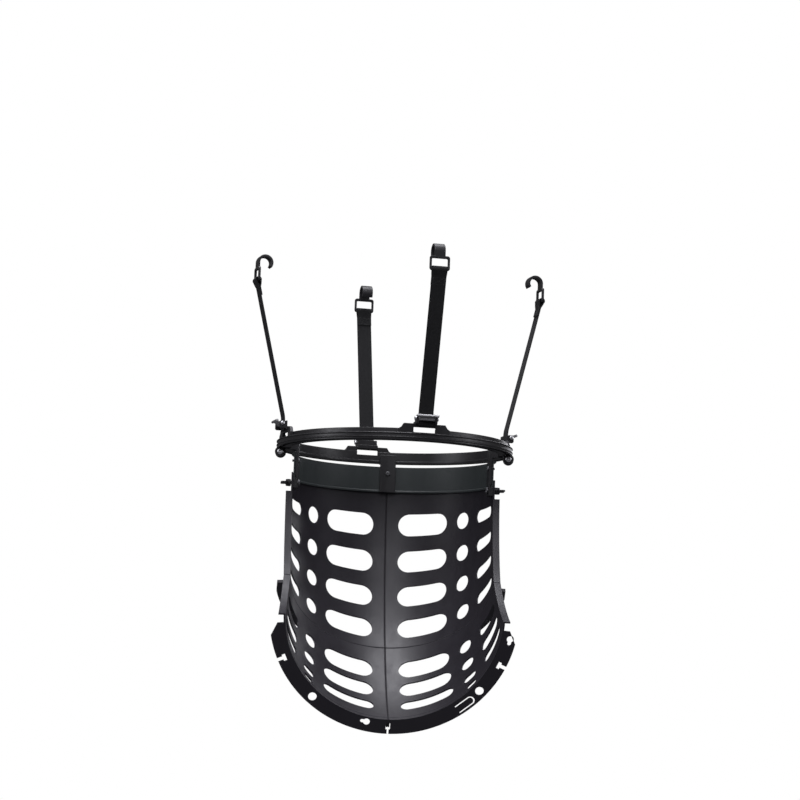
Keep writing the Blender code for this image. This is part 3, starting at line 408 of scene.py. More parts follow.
def flat_form(outline, holes, thickness, edge):
    """Flat outline with holes and rounded edges, centred on Z."""
    curve = bpy.data.curves.new("outline", "CURVE")
    curve.dimensions, curve.fill_mode = "2D", "BOTH"
    curve.bevel_depth, curve.bevel_resolution, curve.offset = edge, 1, -edge
    curve.extrude = thickness / 2 - edge
    for points in [outline] + list(holes):
        spline = curve.splines.new("POLY")
        spline.points.add(len(points) - 1)
        for place, (x, y) in zip(spline.points, points):
            place.co = (x, y, 0, 1)
        spline.use_cyclic_u = True
    return closed(settled(bpy.data.objects.new("outline", curve)))


def arc(radius, start, end, centre=(0, 0), step=6.0):
    count = max(1, round(abs(end - start) / step))
    turns = [radians(start + (end - start) * i / count) for i in range(count + 1)]
    return [(centre[0] + radius * cos(t), centre[1] + radius * sin(t)) for t in turns]


def circle(radius, segments=32):
    return arc(radius, 0, 360 - 360 / segments, step=360 / segments)


def rounded_box(width, height, radius, centre):
    points = []
    for k, (sx, sy) in enumerate(((1, 1), (-1, 1), (-1, -1), (1, -1))):
        corner = (centre[0] + sx * (width / 2 - radius), centre[1] + sy * (height / 2 - radius))
        points += arc(radius, 90 * k, 90 * k + 90, corner, 15)
    return points


def softened(points, radius):
    """Closed outline with its corners rounded."""
    made, steps = [], 3
    for i, point in enumerate(points):
        here = Vector(point)
        back, ahead = Vector(points[i - 1]) - here, Vector(points[(i + 1) % len(points)]) - here
        corner = back.angle(ahead)
        if corner > radians(155):
            made.append(tuple(here))
            continue
        reach = min(radius / tan(corner / 2), back.length * 0.45, ahead.length * 0.45)
        first, last = here + back.normalized() * reach, here + ahead.normalized() * reach
        for k in range(steps + 1):
            t = k / steps
            made.append(tuple(first * (1 - t) ** 2 + here * 2 * t * (1 - t) + last * t * t))
    return made


def add_piece(name, mesh, finish, body, nodes):
    """Add one finished piece and tie it to its body and nodes."""
    mesh.materials.clear()
    mesh.materials.append(finish)
    for face in mesh.polygons:
        face.material_index = 0
    mesh.shade_smooth()
    mesh.set_sharp_from_angle(angle=radians(SMOOTH_BELOW))
    mesh = with_modifiers(mesh, ("WEIGHTED_NORMAL", {"keep_sharp": True, "weight": 50}))
    mesh.name = name
    made = linked(name, mesh)
    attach(made, body)
    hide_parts(*nodes)


# Recipes

def sweep_recipe():
    """Closed profile swept along an arc about Z."""
    recipe = Recipe("swept profile", Radius="Float", Start="Float", Sweep="Float", Steps="Int",
                    Finish="Material")
    path = recipe.node("GeometryNodeCurveArc", {"mode": "RADIUS"},
                       {"Resolution": recipe.given("Steps"), "Radius": recipe.given("Radius"),
                        "Start Angle": recipe.given("Start"), "Sweep Angle": recipe.given("Sweep")})
    profile = recipe.node("GeometryNodeMeshToCurve", values={"Mesh": recipe.given("Geometry")})
    swept = recipe.node("GeometryNodeCurveToMesh",
                        values={"Curve": path, "Profile Curve": profile, "Fill Caps": True})
    recipe.close(swept)
    return recipe


def strip_recipe():
    """Webbing of a given width and thickness along a path, with its weave's coordinates."""
    recipe = Recipe("webbing strip", Width="Float", Thickness="Float", Finish="Material")
    path = recipe.node("GeometryNodeMeshToCurve", values={"Mesh": recipe.given("Geometry")})
    length = recipe.node("GeometryNodeSplineParameter").out("Length")
    path = recipe.stored(path, "along", length)
    frame_curve = recipe.node("GeometryNodeCurvePrimitiveQuadrilateral", {"mode": "RECTANGLE"},
                              {"Width": recipe.given("Thickness"), "Height": recipe.given("Width")})
    frame_curve = recipe.node("GeometryNodeFilletCurve", {"mode": "POLY"},
                              {"Curve": frame_curve, "Count": 4,
                               "Radius": recipe.given("Thickness") * 0.42})
    split = recipe.node("ShaderNodeSeparateXYZ",
                        values={"Vector": recipe.node("GeometryNodeInputPosition")})
    frame_curve = recipe.stored(frame_curve, "across", split.out("Y"))
    swept = recipe.node("GeometryNodeCurveToMesh",
                        values={"Curve": path, "Profile Curve": frame_curve, "Fill Caps": True})
    recipe.close(swept)
    return recipe


def scatter_recipe():
    """One form set at every point, turned as the point says."""
    recipe = Recipe("set forms", Form="Object", Finish="Material")
    recipe.close(recipe.instances("Form", {"Rotation": recipe.field("turn", "QUATERNION")}))
    return recipe


def wall_recipe():
    """Half-pipe wall from cells, each plain or with a round-ended slot in it."""
    recipe = Recipe("slotted wall", Ringed="Object", Plain="Object", Side="Float", Radius="Float",
                    Flare="Float", Joint="Float", Reach="Float", Level="Float", Gap="Float",
                    Finish="Material")
    plain = recipe.field("plain")
    cells = [recipe.instances(name, {"Selection": wanted.math("GREATER_THAN", 0.5)})
             for name, wanted in (("Ringed", 1 - plain), ("Plain", plain))]
    both = recipe.tree.nodes.new("GeometryNodeJoinGeometry")
    for cell in reversed(cells):
        recipe.tree.links.new(cell.socket, both.inputs[0])
    real = recipe.node("GeometryNodeRealizeInstances",
                       values={"Geometry": Value(recipe, both.outputs[0])})

    turn_low, turn_high, bend_low, bend_high = (recipe.field(n) for n in
                                                ("turn_low", "turn_high", "bend_low", "bend_high"))
    share, rise, outward = recipe.field("share"), recipe.field("rise"), recipe.field("outward")
    turn_centre, bend_centre = recipe.field("turn_centre"), recipe.field("bend_centre")
    turn_scale, bend_scale = recipe.field("turn_scale"), recipe.field("bend_scale")
    half_long, half_high = recipe.field("half_long"), recipe.field("half_high")

    x = (turn_low + (turn_high - turn_low) * share - turn_centre) * turn_scale
    y = (bend_low + (bend_high - bend_low) * rise - bend_centre) * bend_scale
    straight = half_long - half_high
    core = x.at_most(straight).at_least(straight * -1)
    away = ((x - core) * (x - core) + y * y) ** 0.5
    slot_x, slot_y = core + (x - core) / away * half_high, y / away * half_high
    turn = turn_centre + (slot_x + (x - slot_x) * outward) / turn_scale
    bend = bend_centre + (slot_y + (y - slot_y) * outward) / bend_scale

    stand_out = ((turn - 90).at_least(0) + (turn * -1).at_least(0)) * 0.001
    lift = (bend * -1).at_least(0) * 0.001
    round_turn = turn.at_least(0).at_most(90) * (pi / 180)
    tilt = bend.at_least(0) * (pi / 180)
    flare = (bend - recipe.given("Joint")).at_least(0) * recipe.given("Flare")
    radius = recipe.given("Radius") + flare + stand_out
    across = (radius * round_turn.sine()).at_least(recipe.given("Gap"))
    back = radius * round_turn.cosine()
    place = recipe.node("ShaderNodeCombineXYZ", values={
        "X": across * recipe.given("Side"),
        "Y": recipe.given("Reach") * (tilt.cosine() - 1) + back * tilt.cosine(),
        "Z": recipe.given("Level") - recipe.given("Reach") * tilt.sine() - back * tilt.sine() + lift})
    for name, value in (("bend", bend), ("from_edge", turn * -1 + 90)):
        real = recipe.stored(real, name, value)
    shaped = recipe.node("GeometryNodeSetPosition", values={"Geometry": real, "Position": place})
    merged = recipe.node("GeometryNodeMergeByDistance", values={"Geometry": shaped, "Distance": 2e-5})
    recipe.close(merged)
    return recipe


SWEEP, STRIP, SCATTER, WALL_CELLS = sweep_recipe(), strip_recipe(), scatter_recipe(), wall_recipe()


def swept(profile, start, sweep, steps, finish):
    """Profile of (radius, height) points swept about Z, as a closed mesh."""
    middle = sum(r for r, z in profile) / len(profile)
    base = loop_mesh([(r - middle, -z) for r, z in profile])
    return closed(SWEEP.run(base, Radius=middle, Start=radians(start), Sweep=radians(sweep),
                            Steps=steps + 1, Finish=finish))


def scattered(form, places, finish):
    """The form's mesh set at every matrix in places."""
    base = bpy.data.meshes.new("points")
    base.from_pydata([tuple(place.to_translation()) for place in places], [], [])
    turns = base.attributes.new("turn", "QUATERNION", "POINT")
    for i, place in enumerate(places):
        turns.data[i].value = place.to_quaternion()
    source = linked("form", form)
    made = SCATTER.run(base, Form=source, Finish=finish)
    bpy.data.objects.remove(source)
    return made


# Finishes

def new_finish(name):
    """Empty material, its tree and the object's own coordinates."""
    made = bpy.data.materials.new(name)
    made.use_nodes = True
    made.node_tree.nodes.clear()
    graph = Graph(made.node_tree)
    return made, graph, graph.node("ShaderNodeTexCoord").out("Object")


def surface(graph, values, height, strength, distance):
    """Principled surface with a bump."""
    bump = graph.node("ShaderNodeBump", values={"Height": height, "Strength": strength,
                                                "Distance": distance})
    shader = graph.node("ShaderNodeBsdfPrincipled", values={**values, "Normal": bump})
    graph.node("ShaderNodeOutputMaterial", values={"Surface": shader})


def noise(graph, vector, scale, detail, roughness=0.5):
    return graph.node("ShaderNodeTexNoise", values={"Vector": vector, "Scale": scale, "Detail": detail,
                                                    "Roughness": roughness}).out("Fac")


def stretched(graph, vector, scale):
    return graph.node("ShaderNodeMapping", {"vector_type": "POINT"}, {"Vector": vector, "Scale": scale})


def panel_groove_and_shade(graph):
    """1 in the creases where panels meet and in the groove beside the lip, else 0: the mask for painted
    shade there, and for a dent and rougher plastic.
    """
    bend = graph.attribute("bend")
    from_edge = graph.attribute("from_edge")
    joint = (1 - (bend - JOINT_BEND).size() * JOINT_LINE_FALL).at_least(0)
    groove = (1 - (bend - LIP_GROOVE_BEND).size() * LIP_GROOVE_FALL).at_least(0)
    seam = (1 - (from_edge - 90).size() * SEAM_LINE_FALL).at_least(0)
    return joint.at_least(seam).at_least(groove)


def moulded_finish(name, dark, light, roughness, rim=False):
    """Moulded plastic: fine grain, faint flow marks, handling marks and paler rubbed edges. With rim, also
    painted shade in the panel creases and the lip groove, which are dented and rougher too.
    """
    made, graph, place = new_finish(name)
    grain = noise(graph, place, 1500.0, 2.0, 0.6)
    swell = noise(graph, place, 22.0, 3.0, 0.5)
    flow = noise(graph, stretched(graph, place, (70.0, 70.0, 9.0)), 1.0, 4.0, 0.55)
    scuff = noise(graph, stretched(graph, place, (900.0, 260.0, 60.0)), 1.0, 3.0, 0.6)
    scuff = graph.node("ShaderNodeMapRange", values={"Value": scuff, "From Min": 0.60, "From Max": 0.78})
    tint = (swell * 0.5 + flow * 0.5 + scuff * 0.45).at_most(1.0)
    rough = roughness - 0.11 + flow * 0.24 - scuff * 0.10
    if rim:
        worn = graph.attribute("outward")
        worn = (1 - worn * 5).at_least(0)
        tint = tint + worn * 0.25
        groove_and_shade = panel_groove_and_shade(graph)
        # Painted shade: the colour darkens along the creases between panels and in the lip groove.
        tint = tint * (1 - groove_and_shade)
        rough = (rough - worn * 0.05) + groove_and_shade * 0.45
    colour = graph.mixed(tint, (*dark, 1), (*light, 1))
    height = grain * 0.5 + swell * 1.5 + flow * 0.5
    if rim:
        height = height - groove_and_shade * 16.0
    surface(graph, {"IOR": 1.48, "Specular IOR Level": 0.5, "Base Color": colour, "Roughness": rough},
            height, 0.10, 0.0006)
    return made


def webbing_finish():
    """Woven polypropylene webbing, from the strip's own coordinates."""
    made, graph, place = new_finish("woven webbing")
    along = graph.attribute("along")
    across = graph.attribute("across")
    chevron = (across / 0.0052).fraction() - 0.5
    pick = ((along / 0.0021 + chevron.size() * 2.2) * (2 * pi)).sine() * 0.5 + 0.5
    warp = ((across / 0.00105) * (2 * pi)).cosine() * 0.5 + 0.5
    fuzz = noise(graph, place, 2600.0, 2.0)
    worn = noise(graph, place, 40.0, 3.0)
    weave = pick * 0.65 + warp * 0.35
    tint = weave * 0.5 + fuzz * 0.3 + worn * 0.3
    colour = graph.mixed(tint, (0.003, 0.003, 0.0035, 1), (0.016, 0.016, 0.0175, 1))
    surface(graph, {"Sheen Weight": 0.05, "Sheen Roughness": 0.5, "Specular IOR Level": 0.25,
                    "Base Color": colour, "Roughness": 0.72 + fuzz * 0.15},
            weave + fuzz * 0.3, 0.6, 0.0004)
    return made


def thread_finish():
    made, graph, place = new_finish("bonded thread")
    twist = noise(graph, place, 3000.0, 1.0)
    colour = graph.mixed(twist, (0.008, 0.008, 0.009, 1), (0.035, 0.035, 0.037, 1))
    surface(graph, {"Base Color": colour, "Roughness": 0.5 + twist * 0.2}, twist, 0.3, 0.0002)
    return made


def metal_finish(name, dark, light, roughness):
    """Plated steel with a fine drawn grain and small spots of dulled plating."""
    made, graph, place = new_finish(name)
    drawn = noise(graph, stretched(graph, place, (3000.0, 400.0, 400.0)), 1.0, 2.0)
    spots = noise(graph, place, 420.0, 3.0)
    dull = graph.node("ShaderNodeMapRange", values={"Value": spots, "From Min": 0.52, "From Max": 0.70})
    colour = graph.mixed((drawn * 0.4 + dull * 0.6).at_most(1.0), (*light, 1), (*dark, 1))
    surface(graph, {"Metallic": 1.0, "Base Color": colour,
                    "Roughness": roughness + drawn * 0.12 + dull * 0.15}, drawn + spots, 0.12, 0.0003)
    return made


PLASTIC = moulded_finish("satin black plastic", (0.0115, 0.0100, 0.0140), (0.021, 0.018, 0.025), 0.44,
                         rim=True)
FRAME_PLASTIC = moulded_finish("black frame plastic", (0.010, 0.0098, 0.0112), (0.022, 0.021, 0.024), 0.38)
COLLAR_PLASTIC = moulded_finish("dark grey collar plastic", (0.022, 0.027, 0.028), (0.038, 0.045, 0.046),
                                0.46)
WEBBING = webbing_finish()
THREAD = thread_finish()
ZINC = metal_finish("zinc plated steel", (0.40, 0.40, 0.42), (0.74, 0.74, 0.76), 0.24)
# Darker copy of the zinc finish: painted shade for the carriage's fasteners.
SHADED_ZINC = metal_finish("dulled zinc plated steel", (0.07, 0.07, 0.075), (0.17, 0.17, 0.18), 0.50)
LEVER_STEEL = metal_finish("pressed lever steel", (0.30, 0.30, 0.31), (0.62, 0.62, 0.63), 0.34)


# Places

def upright(place):
    return Matrix.Rotation(radians(STRAP_ANGLES[place]), 4, "Z")


def azimuth(angle):
    """Turns +X to a direction counted from the rear, +X side positive."""
    return Matrix.Rotation(pi / 2 - radians(angle), 4, "Z")


def section_radius(bend):
    share = max(0.0, bend - JOINT_BEND) / (LIP_BEND - JOINT_BEND)
    return CHUTE_RADIUS + (LIP_RADIUS - CHUTE_RADIUS) * share


def section(bend):
    """Matrix of a cross section: local X across, local Y out from the bend's axis."""
    turn = radians(bend)
    centre = (0, BEND_OFFSET * (cos(turn) - 1), CHUTE_LEVEL - BEND_OFFSET * sin(turn))
    return Matrix.Translation(centre) @ Matrix.Rotation(-turn, 4, "X")


# Ring

def ring_outline():
    shell, wall = RING_OUTER - BEAD_HEIGHT, RING_INNER + RING_WALL
    band_top = RING_TOP - RING_STEP
    outer = []
    for k in range(2):
        level = band_top - BEAD_HALF - k * BEAD_PITCH
        outer += [(shell, level + BEAD_HALF), (RING_OUTER, level + BEAD_HALF / 2),
                  (RING_OUTER, level - BEAD_HALF / 3), (shell, level - BEAD_HALF)]
    middle = (shell + RING_INNER) / 2
    left, right = middle - CHANNEL_WIDTH / 2, middle + CHANNEL_WIDTH / 2
    return softened([(RING_INNER, RING_TOP), (wall, RING_TOP), (wall, band_top)] + outer +
                    [(shell, RING_BOTTOM), (right, RING_BOTTOM), (right, RING_BOTTOM + CHANNEL_DEPTH),
                     (left, RING_BOTTOM + CHANNEL_DEPTH), (left, RING_BOTTOM), (RAIL_RADIUS, RING_BOTTOM),
                     (RAIL_RADIUS, RING_BOTTOM + RAIL_THICKNESS),
                     (RING_INNER, RING_BOTTOM + RAIL_THICKNESS)], 0.0009)


def ear_outline():
    half_base, half_top = EAR_BASE / 2, EAR_TIP / 2
    shoulder = ((half_base + half_top) / 2, EAR_HEIGHT / 2 - EAR_SAG)
    right = [(half_base, -EAR_ROOT), (half_base, 0), shoulder, (half_top, EAR_HEIGHT)]
    return softened(right + [(-x, z) for x, z in reversed(right)], 0.0018)


def lug_place(end):
    return (Matrix.Rotation(radians(HANGER_TURN), 4, "Z")
            @ Matrix.Translation((end * (RING_OUTER - LUG_INSET), 0, LUG_LEVEL)) @ ALONG_Y)


def make_ring():
    gap = degrees(FIT_GAP / RING_OUTER)
    for name, start, side in (("rear", 0.0, 1), ("front", 180.0, -1)):
        hoop = swept(ring_outline(), start + gap / 2 + HANGER_TURN, 180 - gap, RING_ARC_STEPS, FRAME_PLASTIC)
        parts, tools = [], []
        for place, angle in STRAP_ANGLES.items():
            if ((angle - HANGER_TURN) % 360 < 180) != (side > 0):
                continue
            stand = upright(place) @ Matrix.Translation((EAR_CENTRE, 0, RING_TOP))
            middle = WINDOW_RISE - WINDOW_HEIGHT / 2
            window = rounded_box(WINDOW_WIDTH, WINDOW_HEIGHT, WINDOW_CORNER, (0, middle))
            parts.append(moved(flat_form(ear_outline(), [window], EAR_THICKNESS, 0.0006), stand @ FACE_ON))
            tools.append(moved(block((WINDOW_CUT_IN, -WINDOW_WIDTH / 2, WINDOW_RISE - WINDOW_HEIGHT),
                                     (WINDOW_CUT_OUT, WINDOW_WIDTH / 2, WINDOW_RISE)), stand))
        for end in (-1, 1):
            near, far = side * FIT_GAP / 2, side * (FIT_GAP / 2 + LUG_LENGTH)
            edge = side * LUG_OUTER_EDGE
            lug = lathe([(0, near), (LUG_RADIUS - LUG_INNER_EDGE, near), (LUG_RADIUS, near + edge / 2),
                         (LUG_RADIUS, far - edge), (LUG_RADIUS - LUG_OUTER_EDGE, far), (0, far)], 48)
            parts.append(moved(lug, lug_place(end)))
        hoop = cut(hoop, joined(tools))
        add_piece("moulded_ring_" + name, joined([hoop] + parts), FRAME_PLASTIC, "hanger",
                  ["ring_%s_half" % name])


# Hooks, straps and buckles

def hook_outline():
    outer, leg_x = CROOK_RADIUS + HOOK_THICKNESS - CROOK_RELIEF, CROOK_RADIUS + HOOK_THICKNESS / 2
    points = arc(outer, HOOK_TIP, 0) + [(outer, -HOOK_LEG), (CROOK_RADIUS, -HOOK_LEG)]
    points += arc(CROOK_RADIUS, 0, HOOK_TIP)
    return [(x - leg_x, z - BAR_LEVEL) for x, z in points]


def make_hooks():
    loop_top = -HOOK_LEG + LOOP_OVERLAP
    middle = loop_top - LOOP_HEIGHT / 2 - BAR_LEVEL
    window = (LOOP_WIDTH - 2 * LOOP_SIDE, LOOP_HEIGHT - 2 * LOOP_BAR)
    for place in STRAP_ANGLES:
        stand = upright(place) @ Matrix.Translation((LEG_RADIUS, 0, BAR_LEVEL))
        crook = moved(flat_form(softened(hook_outline(), 0.001), [], HOOK_WIDTH, 0.0007), stand @ SIDE_ON)
        outline = rounded_box(LOOP_WIDTH, LOOP_HEIGHT, LOOP_CORNER, (0, middle))
        hole = rounded_box(*window, LOOP_CORNER / 2, (0, middle))
        loop = moved(flat_form(outline, [hole], HOOK_THICKNESS - FIT_GAP, 0.0009), stand @ FACE_ON)
        add_piece("moulded_hook_" + place, joined([crook, loop]), FRAME_PLASTIC, "hook_" + place,
                  ["rim_hook_" + place])


def strap_route():
    """Path of one strap in its own plane, and how to reach a spot beside it."""
    knee = Vector((WEBBING_FOOT_RADIUS - LEG_RADIUS, RING_TOP + WEBBING_KNEE - BAR_LEVEL))
    down = knee.normalized()
    across = Vector((-down.y, down.x))
    half = WEBBING_THICKNESS / 2
    turn = LOOP_BAR / sqrt(2) + WEBBING_PLAY + half

    def at(distance, sideways):
        return down * distance + across * sideways

    foot = Vector((knee.x, RING_TOP + BUCKLE_FOOT_GAP - BAR_LEVEL))
    bend = [knee + Vector((0, -KNEE_START)), knee + Vector((0, -KNEE_END)), at(knee.length - KNEE_END, 0),
            at(knee.length - KNEE_START, 0)]
    shares = [k / 10 for k in range(9, -1, -1)]
    run = [at(knee.length * s + WEBBING_DOUBLED * 2 * (1 - s), half * (1 - s)) for s in shares]
    neck = [at(WEBBING_DOUBLED, half * 1.02), at(WEBBING_NECK, half * 1.05),
            at(WEBBING_NECK * 0.65, turn * 0.55)]
    loop = []
    for i in range(WRAP_STEPS + 1):
        angle = radians(WRAP_FIRST + (WRAP_LAST - WRAP_FIRST) * i / WRAP_STEPS)
        loop.append(down * (turn * cos(angle)) + across * (turn * sin(angle)))
    tail = [at(WEBBING_NECK * 0.65, -turn * 0.55), at(WEBBING_NECK, -half * 1.05),
            at((WEBBING_NECK + WEBBING_DOUBLED) / 2, -half * 1.02), at(WEBBING_DOUBLED, -half * 1.02)]
    return [foot] + bend + run + neck + loop + tail, at


def make_straps():
    route, at = strap_route()
    points = [(p.x, 0, p.y) for p in route]
    stitch = lathe([(0, 0.0011), (0.00022, 0.0009), (0.00030, 0.0004), (0.00030, -0.0004),
                    (0.00022, -0.0009), (0, -0.0011)], 6)
    stitches = []
    for place in STRAP_ANGLES:
        stand = upright(place) @ Matrix.Translation((LEG_RADIUS, 0, BAR_LEVEL))
        strip = STRIP.run(loop_mesh(points, False), Width=WEBBING_WIDTH, Thickness=WEBBING_THICKNESS,
                          Finish=WEBBING)
        add_piece("webbing_" + place, moved(closed(strip), stand), WEBBING, "hanger",
                  ["strap_" + place])
        low, high = WEBBING_NECK + STITCH_MARGIN, WEBBING_DOUBLED - STITCH_MARGIN
        wide = WEBBING_WIDTH / 2 - STITCH_SIDE
        lines = [((low, -wide), (low, wide)), ((low, wide), (high, wide)), ((high, wide), (high, -wide)),
                 ((high, -wide), (low, -wide)), ((low, -wide), (high, wide)), ((low, wide), (high, -wide))]
        for face in (-1, 1):
            for (a0, b0), (a1, b1) in lines:
                length = sqrt((a1 - a0) ** 2 + (b1 - b0) ** 2)
                count = max(2, round(length / STITCH_PITCH))
                for k in range(count):
                    s = (k + 0.5) / count
                    reach, out = a0 + (a1 - a0) * s, face * WEBBING_THICKNESS
                    spot = at(reach, face * (WEBBING_THICKNESS * 1.02 + STITCH_PROUD))
                    ahead = at(reach + 0.001, out) - at(reach, out)
                    run = Vector((ahead.x * (a1 - a0), 0.001 * (b1 - b0), ahead.y * (a1 - a0)))
                    turn = run.to_track_quat("Z", "Y").to_matrix().to_4x4()
                    spot = Vector((spot.x, b0 + (b1 - b0) * s, spot.y))
                    stitches.append(stand @ Matrix.Translation(spot) @ turn)
    add_piece("strap_stitching", scattered(stitch, stitches, THREAD), THREAD, "hanger", [])


def buckle_outline():
    inner_face, outer_face = EAR_CENTRE - EAR_THICKNESS / 2 - FIT_GAP, EAR_OUTER + FIT_GAP
    seat = EAR_TOP + FIT_GAP
    crown = seat + BUCKLE_PLATE
    foot = RING_TOP + BUCKLE_FOOT_GAP
    back, lip = inner_face - BUCKLE_PLATE, seat - BUCKLE_LIP_DROP
    return softened([(BUCKLE_FACE, foot), (BUCKLE_FACE, BUCKLE_TOP), (outer_face, BUCKLE_TOP),
                     (outer_face, crown), (back, crown), (back, lip), (inner_face, lip),
                     (inner_face, seat), (outer_face, seat), (outer_face, foot)], 0.0007)


def make_buckles():
    half = BUCKLE_WIDTH / 2
    cheek_middle = (BUCKLE_FACE + (CHEEK_REACH - FIT_GAP) / 2, BUCKLE_TOP - CHEEK_HEIGHT / 2)
    cheek = rounded_box(CHEEK_REACH + FIT_GAP, CHEEK_HEIGHT - FIT_GAP, CHEEK_CORNER, cheek_middle)
    lever_half = half - CHEEK_THICKNESS - LEVER_PLAY
    tab = Matrix.Rotation(radians(TAB_ANGLE), 2)

    def tilted(points, thickness, edge):
        return flat_form([tuple(tab @ Vector(p)) for p in points], [], thickness, edge)

    thick = TAB_THICKNESS / 2
    root = degrees(asin(thick / CAM_RADIUS))
    body = arc(CAM_RADIUS, root, 360 - root, step=12)
    body += [(TAB_LENGTH - 0.001, -thick), (TAB_LENGTH - 0.001, thick)]
    bar_middle = TAB_LENGTH - THUMB_DEPTH / 2
    bar = rounded_box(THUMB_DEPTH, THUMB_THICKNESS, THUMB_CORNER, (bar_middle, 0))
    far = half + FIT_GAP
    head = ((0, 1), (0.6, 1), (0.9, 0.75), (1, 0.4), (1, 0))
    end = [(PIN_HEAD * r, far + PIN_HEAD_HEIGHT * z) for r, z in head] + [(PIN_RADIUS, far)]
    pin = lathe(end + [(r, -z) for r, z in reversed(end)])
    pins = []
    for place in STRAP_ANGLES:
        stand = upright(place)
        parts = [moved(flat_form(buckle_outline(), [], BUCKLE_WIDTH - FIT_GAP, 0.0004), stand @ SIDE_ON)]
        for side in (-1, 1):
            shift = Matrix.Translation((0, side * (half - CHEEK_THICKNESS / 2), 0))
            parts.append(moved(flat_form(cheek, [], CHEEK_THICKNESS, 0.0005), stand @ shift @ SIDE_ON))
        add_piece("moulded_buckle_" + place, joined(parts), FRAME_PLASTIC, "hanger",
                  ["buckle_frame_" + place])
        axle = stand @ Matrix.Translation((PIN_PLACE, 0, PIN_LEVEL))
        pins.append(axle @ ALONG_Y)
        lever, thumb = tilted(body, 2 * lever_half, 0.0003), tilted(bar, THUMB_WIDTH, 0.0006)
        grips = []
        for k in range(-GRIPS_EACH_SIDE, GRIPS_EACH_SIDE + 1):
            rib = rounded_box(THUMB_DEPTH * 0.9, THUMB_THICKNESS + GRIP_RISE, THUMB_CORNER, (bar_middle, 0))
            grips.append(moved(tilted(rib, GRIP_WIDTH, 0.0002), Matrix.Translation((0, 0, k * GRIP_PITCH))))
        add_piece("pressed_lever_" + place, moved(joined([lever, thumb] + grips), axle @ SIDE_ON),
                  LEVER_STEEL, "lever_" + place, ["buckle_lever_" + place])
    add_piece("buckle_pins", scattered(pin, pins, ZINC), ZINC, "hanger",
              ["buckle_pin_" + place for place in STRAP_ANGLES])


# Collar

def collar_outline():
    out, inn = COLLAR_OUTER, COLLAR_INNER
    bead, over_bead = inn - COLLAR_BEAD, CHUTE_LEVEL + COLLAR_BEAD_HEIGHT
    return softened([(inn, COLLAR_TOP), (out + COLLAR_RIB, COLLAR_TOP),
                     (out + COLLAR_RIB, COLLAR_TOP - RIB_HEIGHT), (out, COLLAR_TOP - RIB_HEIGHT),
                     (out, CHUTE_LEVEL), (bead, CHUTE_LEVEL), (bead, over_bead),
                     (inn, over_bead + COLLAR_BEAD)], 0.0007)


def clip_outline(with_foot):
    reach, throat = RAIL_RADIUS + CLIP_REACH, RAIL_RADIUS - 2 * FIT_GAP
    upper, lower = RING_BOTTOM + RAIL_THICKNESS + FIT_GAP, RING_BOTTOM - FIT_GAP
    crown = upper + CLIP_FINGER
    bead_clear = CHUTE_LEVEL + COLLAR_BEAD_HEIGHT + 2 * COLLAR_BEAD + FIT_GAP
    points = [(CLIP_INNER, crown + CLIP_RISE), (CLIP_OUTER, crown + CLIP_RISE), (CLIP_OUTER, crown),
              (reach, crown), (reach, upper), (throat, upper), (throat, lower), (reach, lower),
              (reach, lower - CLIP_FINGER / 2), (CLIP_OUTER, lower - CLIP_FINGER / 2)]
    thin = CLIP_OUTER - COLLAR_BEAD - FIT_GAP
    points += [(CLIP_OUTER, bead_clear), (thin, bead_clear - COLLAR_BEAD)]
    if with_foot:
        foot = CHUTE_LEVEL - CLIP_FOOT
        points += [(thin, CHUTE_LEVEL - FIT_GAP), (FOOT_OUTER, CHUTE_LEVEL - FIT_GAP),
                   (FOOT_OUTER, foot), (CLIP_INNER, foot)]
    else:
        points += [(thin, CHUTE_LEVEL), (CLIP_INNER, CHUTE_LEVEL)]
    return softened(points, 0.0007)


def make_collar():
    band = swept(collar_outline(), 0.0, 180.0, RING_ARC_STEPS, COLLAR_PLASTIC)
    add_piece("moulded_collar_band", band, COLLAR_PLASTIC, "carriage", ["collar_band"])
    sweep = degrees(CLIP_WIDTH / COLLAR_INNER)
    for name, angle in CLIP_ANGLES.items():
        clip = swept(clip_outline(name != "rear"), -sweep / 2, sweep, 8, FRAME_PLASTIC)
        clip = moved(soft_edges(clip, 0.0004, 60.0), azimuth(angle))
        add_piece("moulded_clip_" + name, clip, FRAME_PLASTIC, "carriage",
                  ["collar_clip_" + name])


# Chute

def cell_forms():
    """A ringed cell with a hole and a plain one, with their shares stored on the points."""
    steps = SLOT_SIDE_STEPS
    around = ([(i / steps, 0.0) for i in range(steps)] + [(1.0, i / steps) for i in range(steps)] +
              [(1 - i / steps, 1.0) for i in range(steps)] + [(0.0, 1 - i / steps) for i in range(steps)])
    count = len(around)
    ringed = bpy.data.meshes.new("ringed cell")
    spots = [(s, r, t) for t in SLOT_RINGS for s, r in around]
    faces = [(k * count + i, k * count + (i + 1) % count, (k + 1) * count + (i + 1) % count,
              (k + 1) * count + i) for k in range(len(SLOT_RINGS) - 1) for i in range(count)]
    ringed.from_pydata(spots, [], [tuple(reversed(f)) for f in faces])
    plain = bpy.data.meshes.new("plain cell")
    grid = [(i / steps, j / steps, 1.0) for j in range(steps + 1) for i in range(steps + 1)]
    side = steps + 1
    squares = [(j * side + i, j * side + i + 1, (j + 1) * side + i + 1, (j + 1) * side + i)
               for j in range(steps) for i in range(steps)]
    plain.from_pydata(grid, [], squares)
    made = []
    for mesh, values in ((ringed, spots), (plain, grid)):
        for index, name in enumerate(("share", "rise", "outward")):
            store(mesh, name, [v[index] for v in values])
        made.append(linked(mesh.name, mesh))
    return made


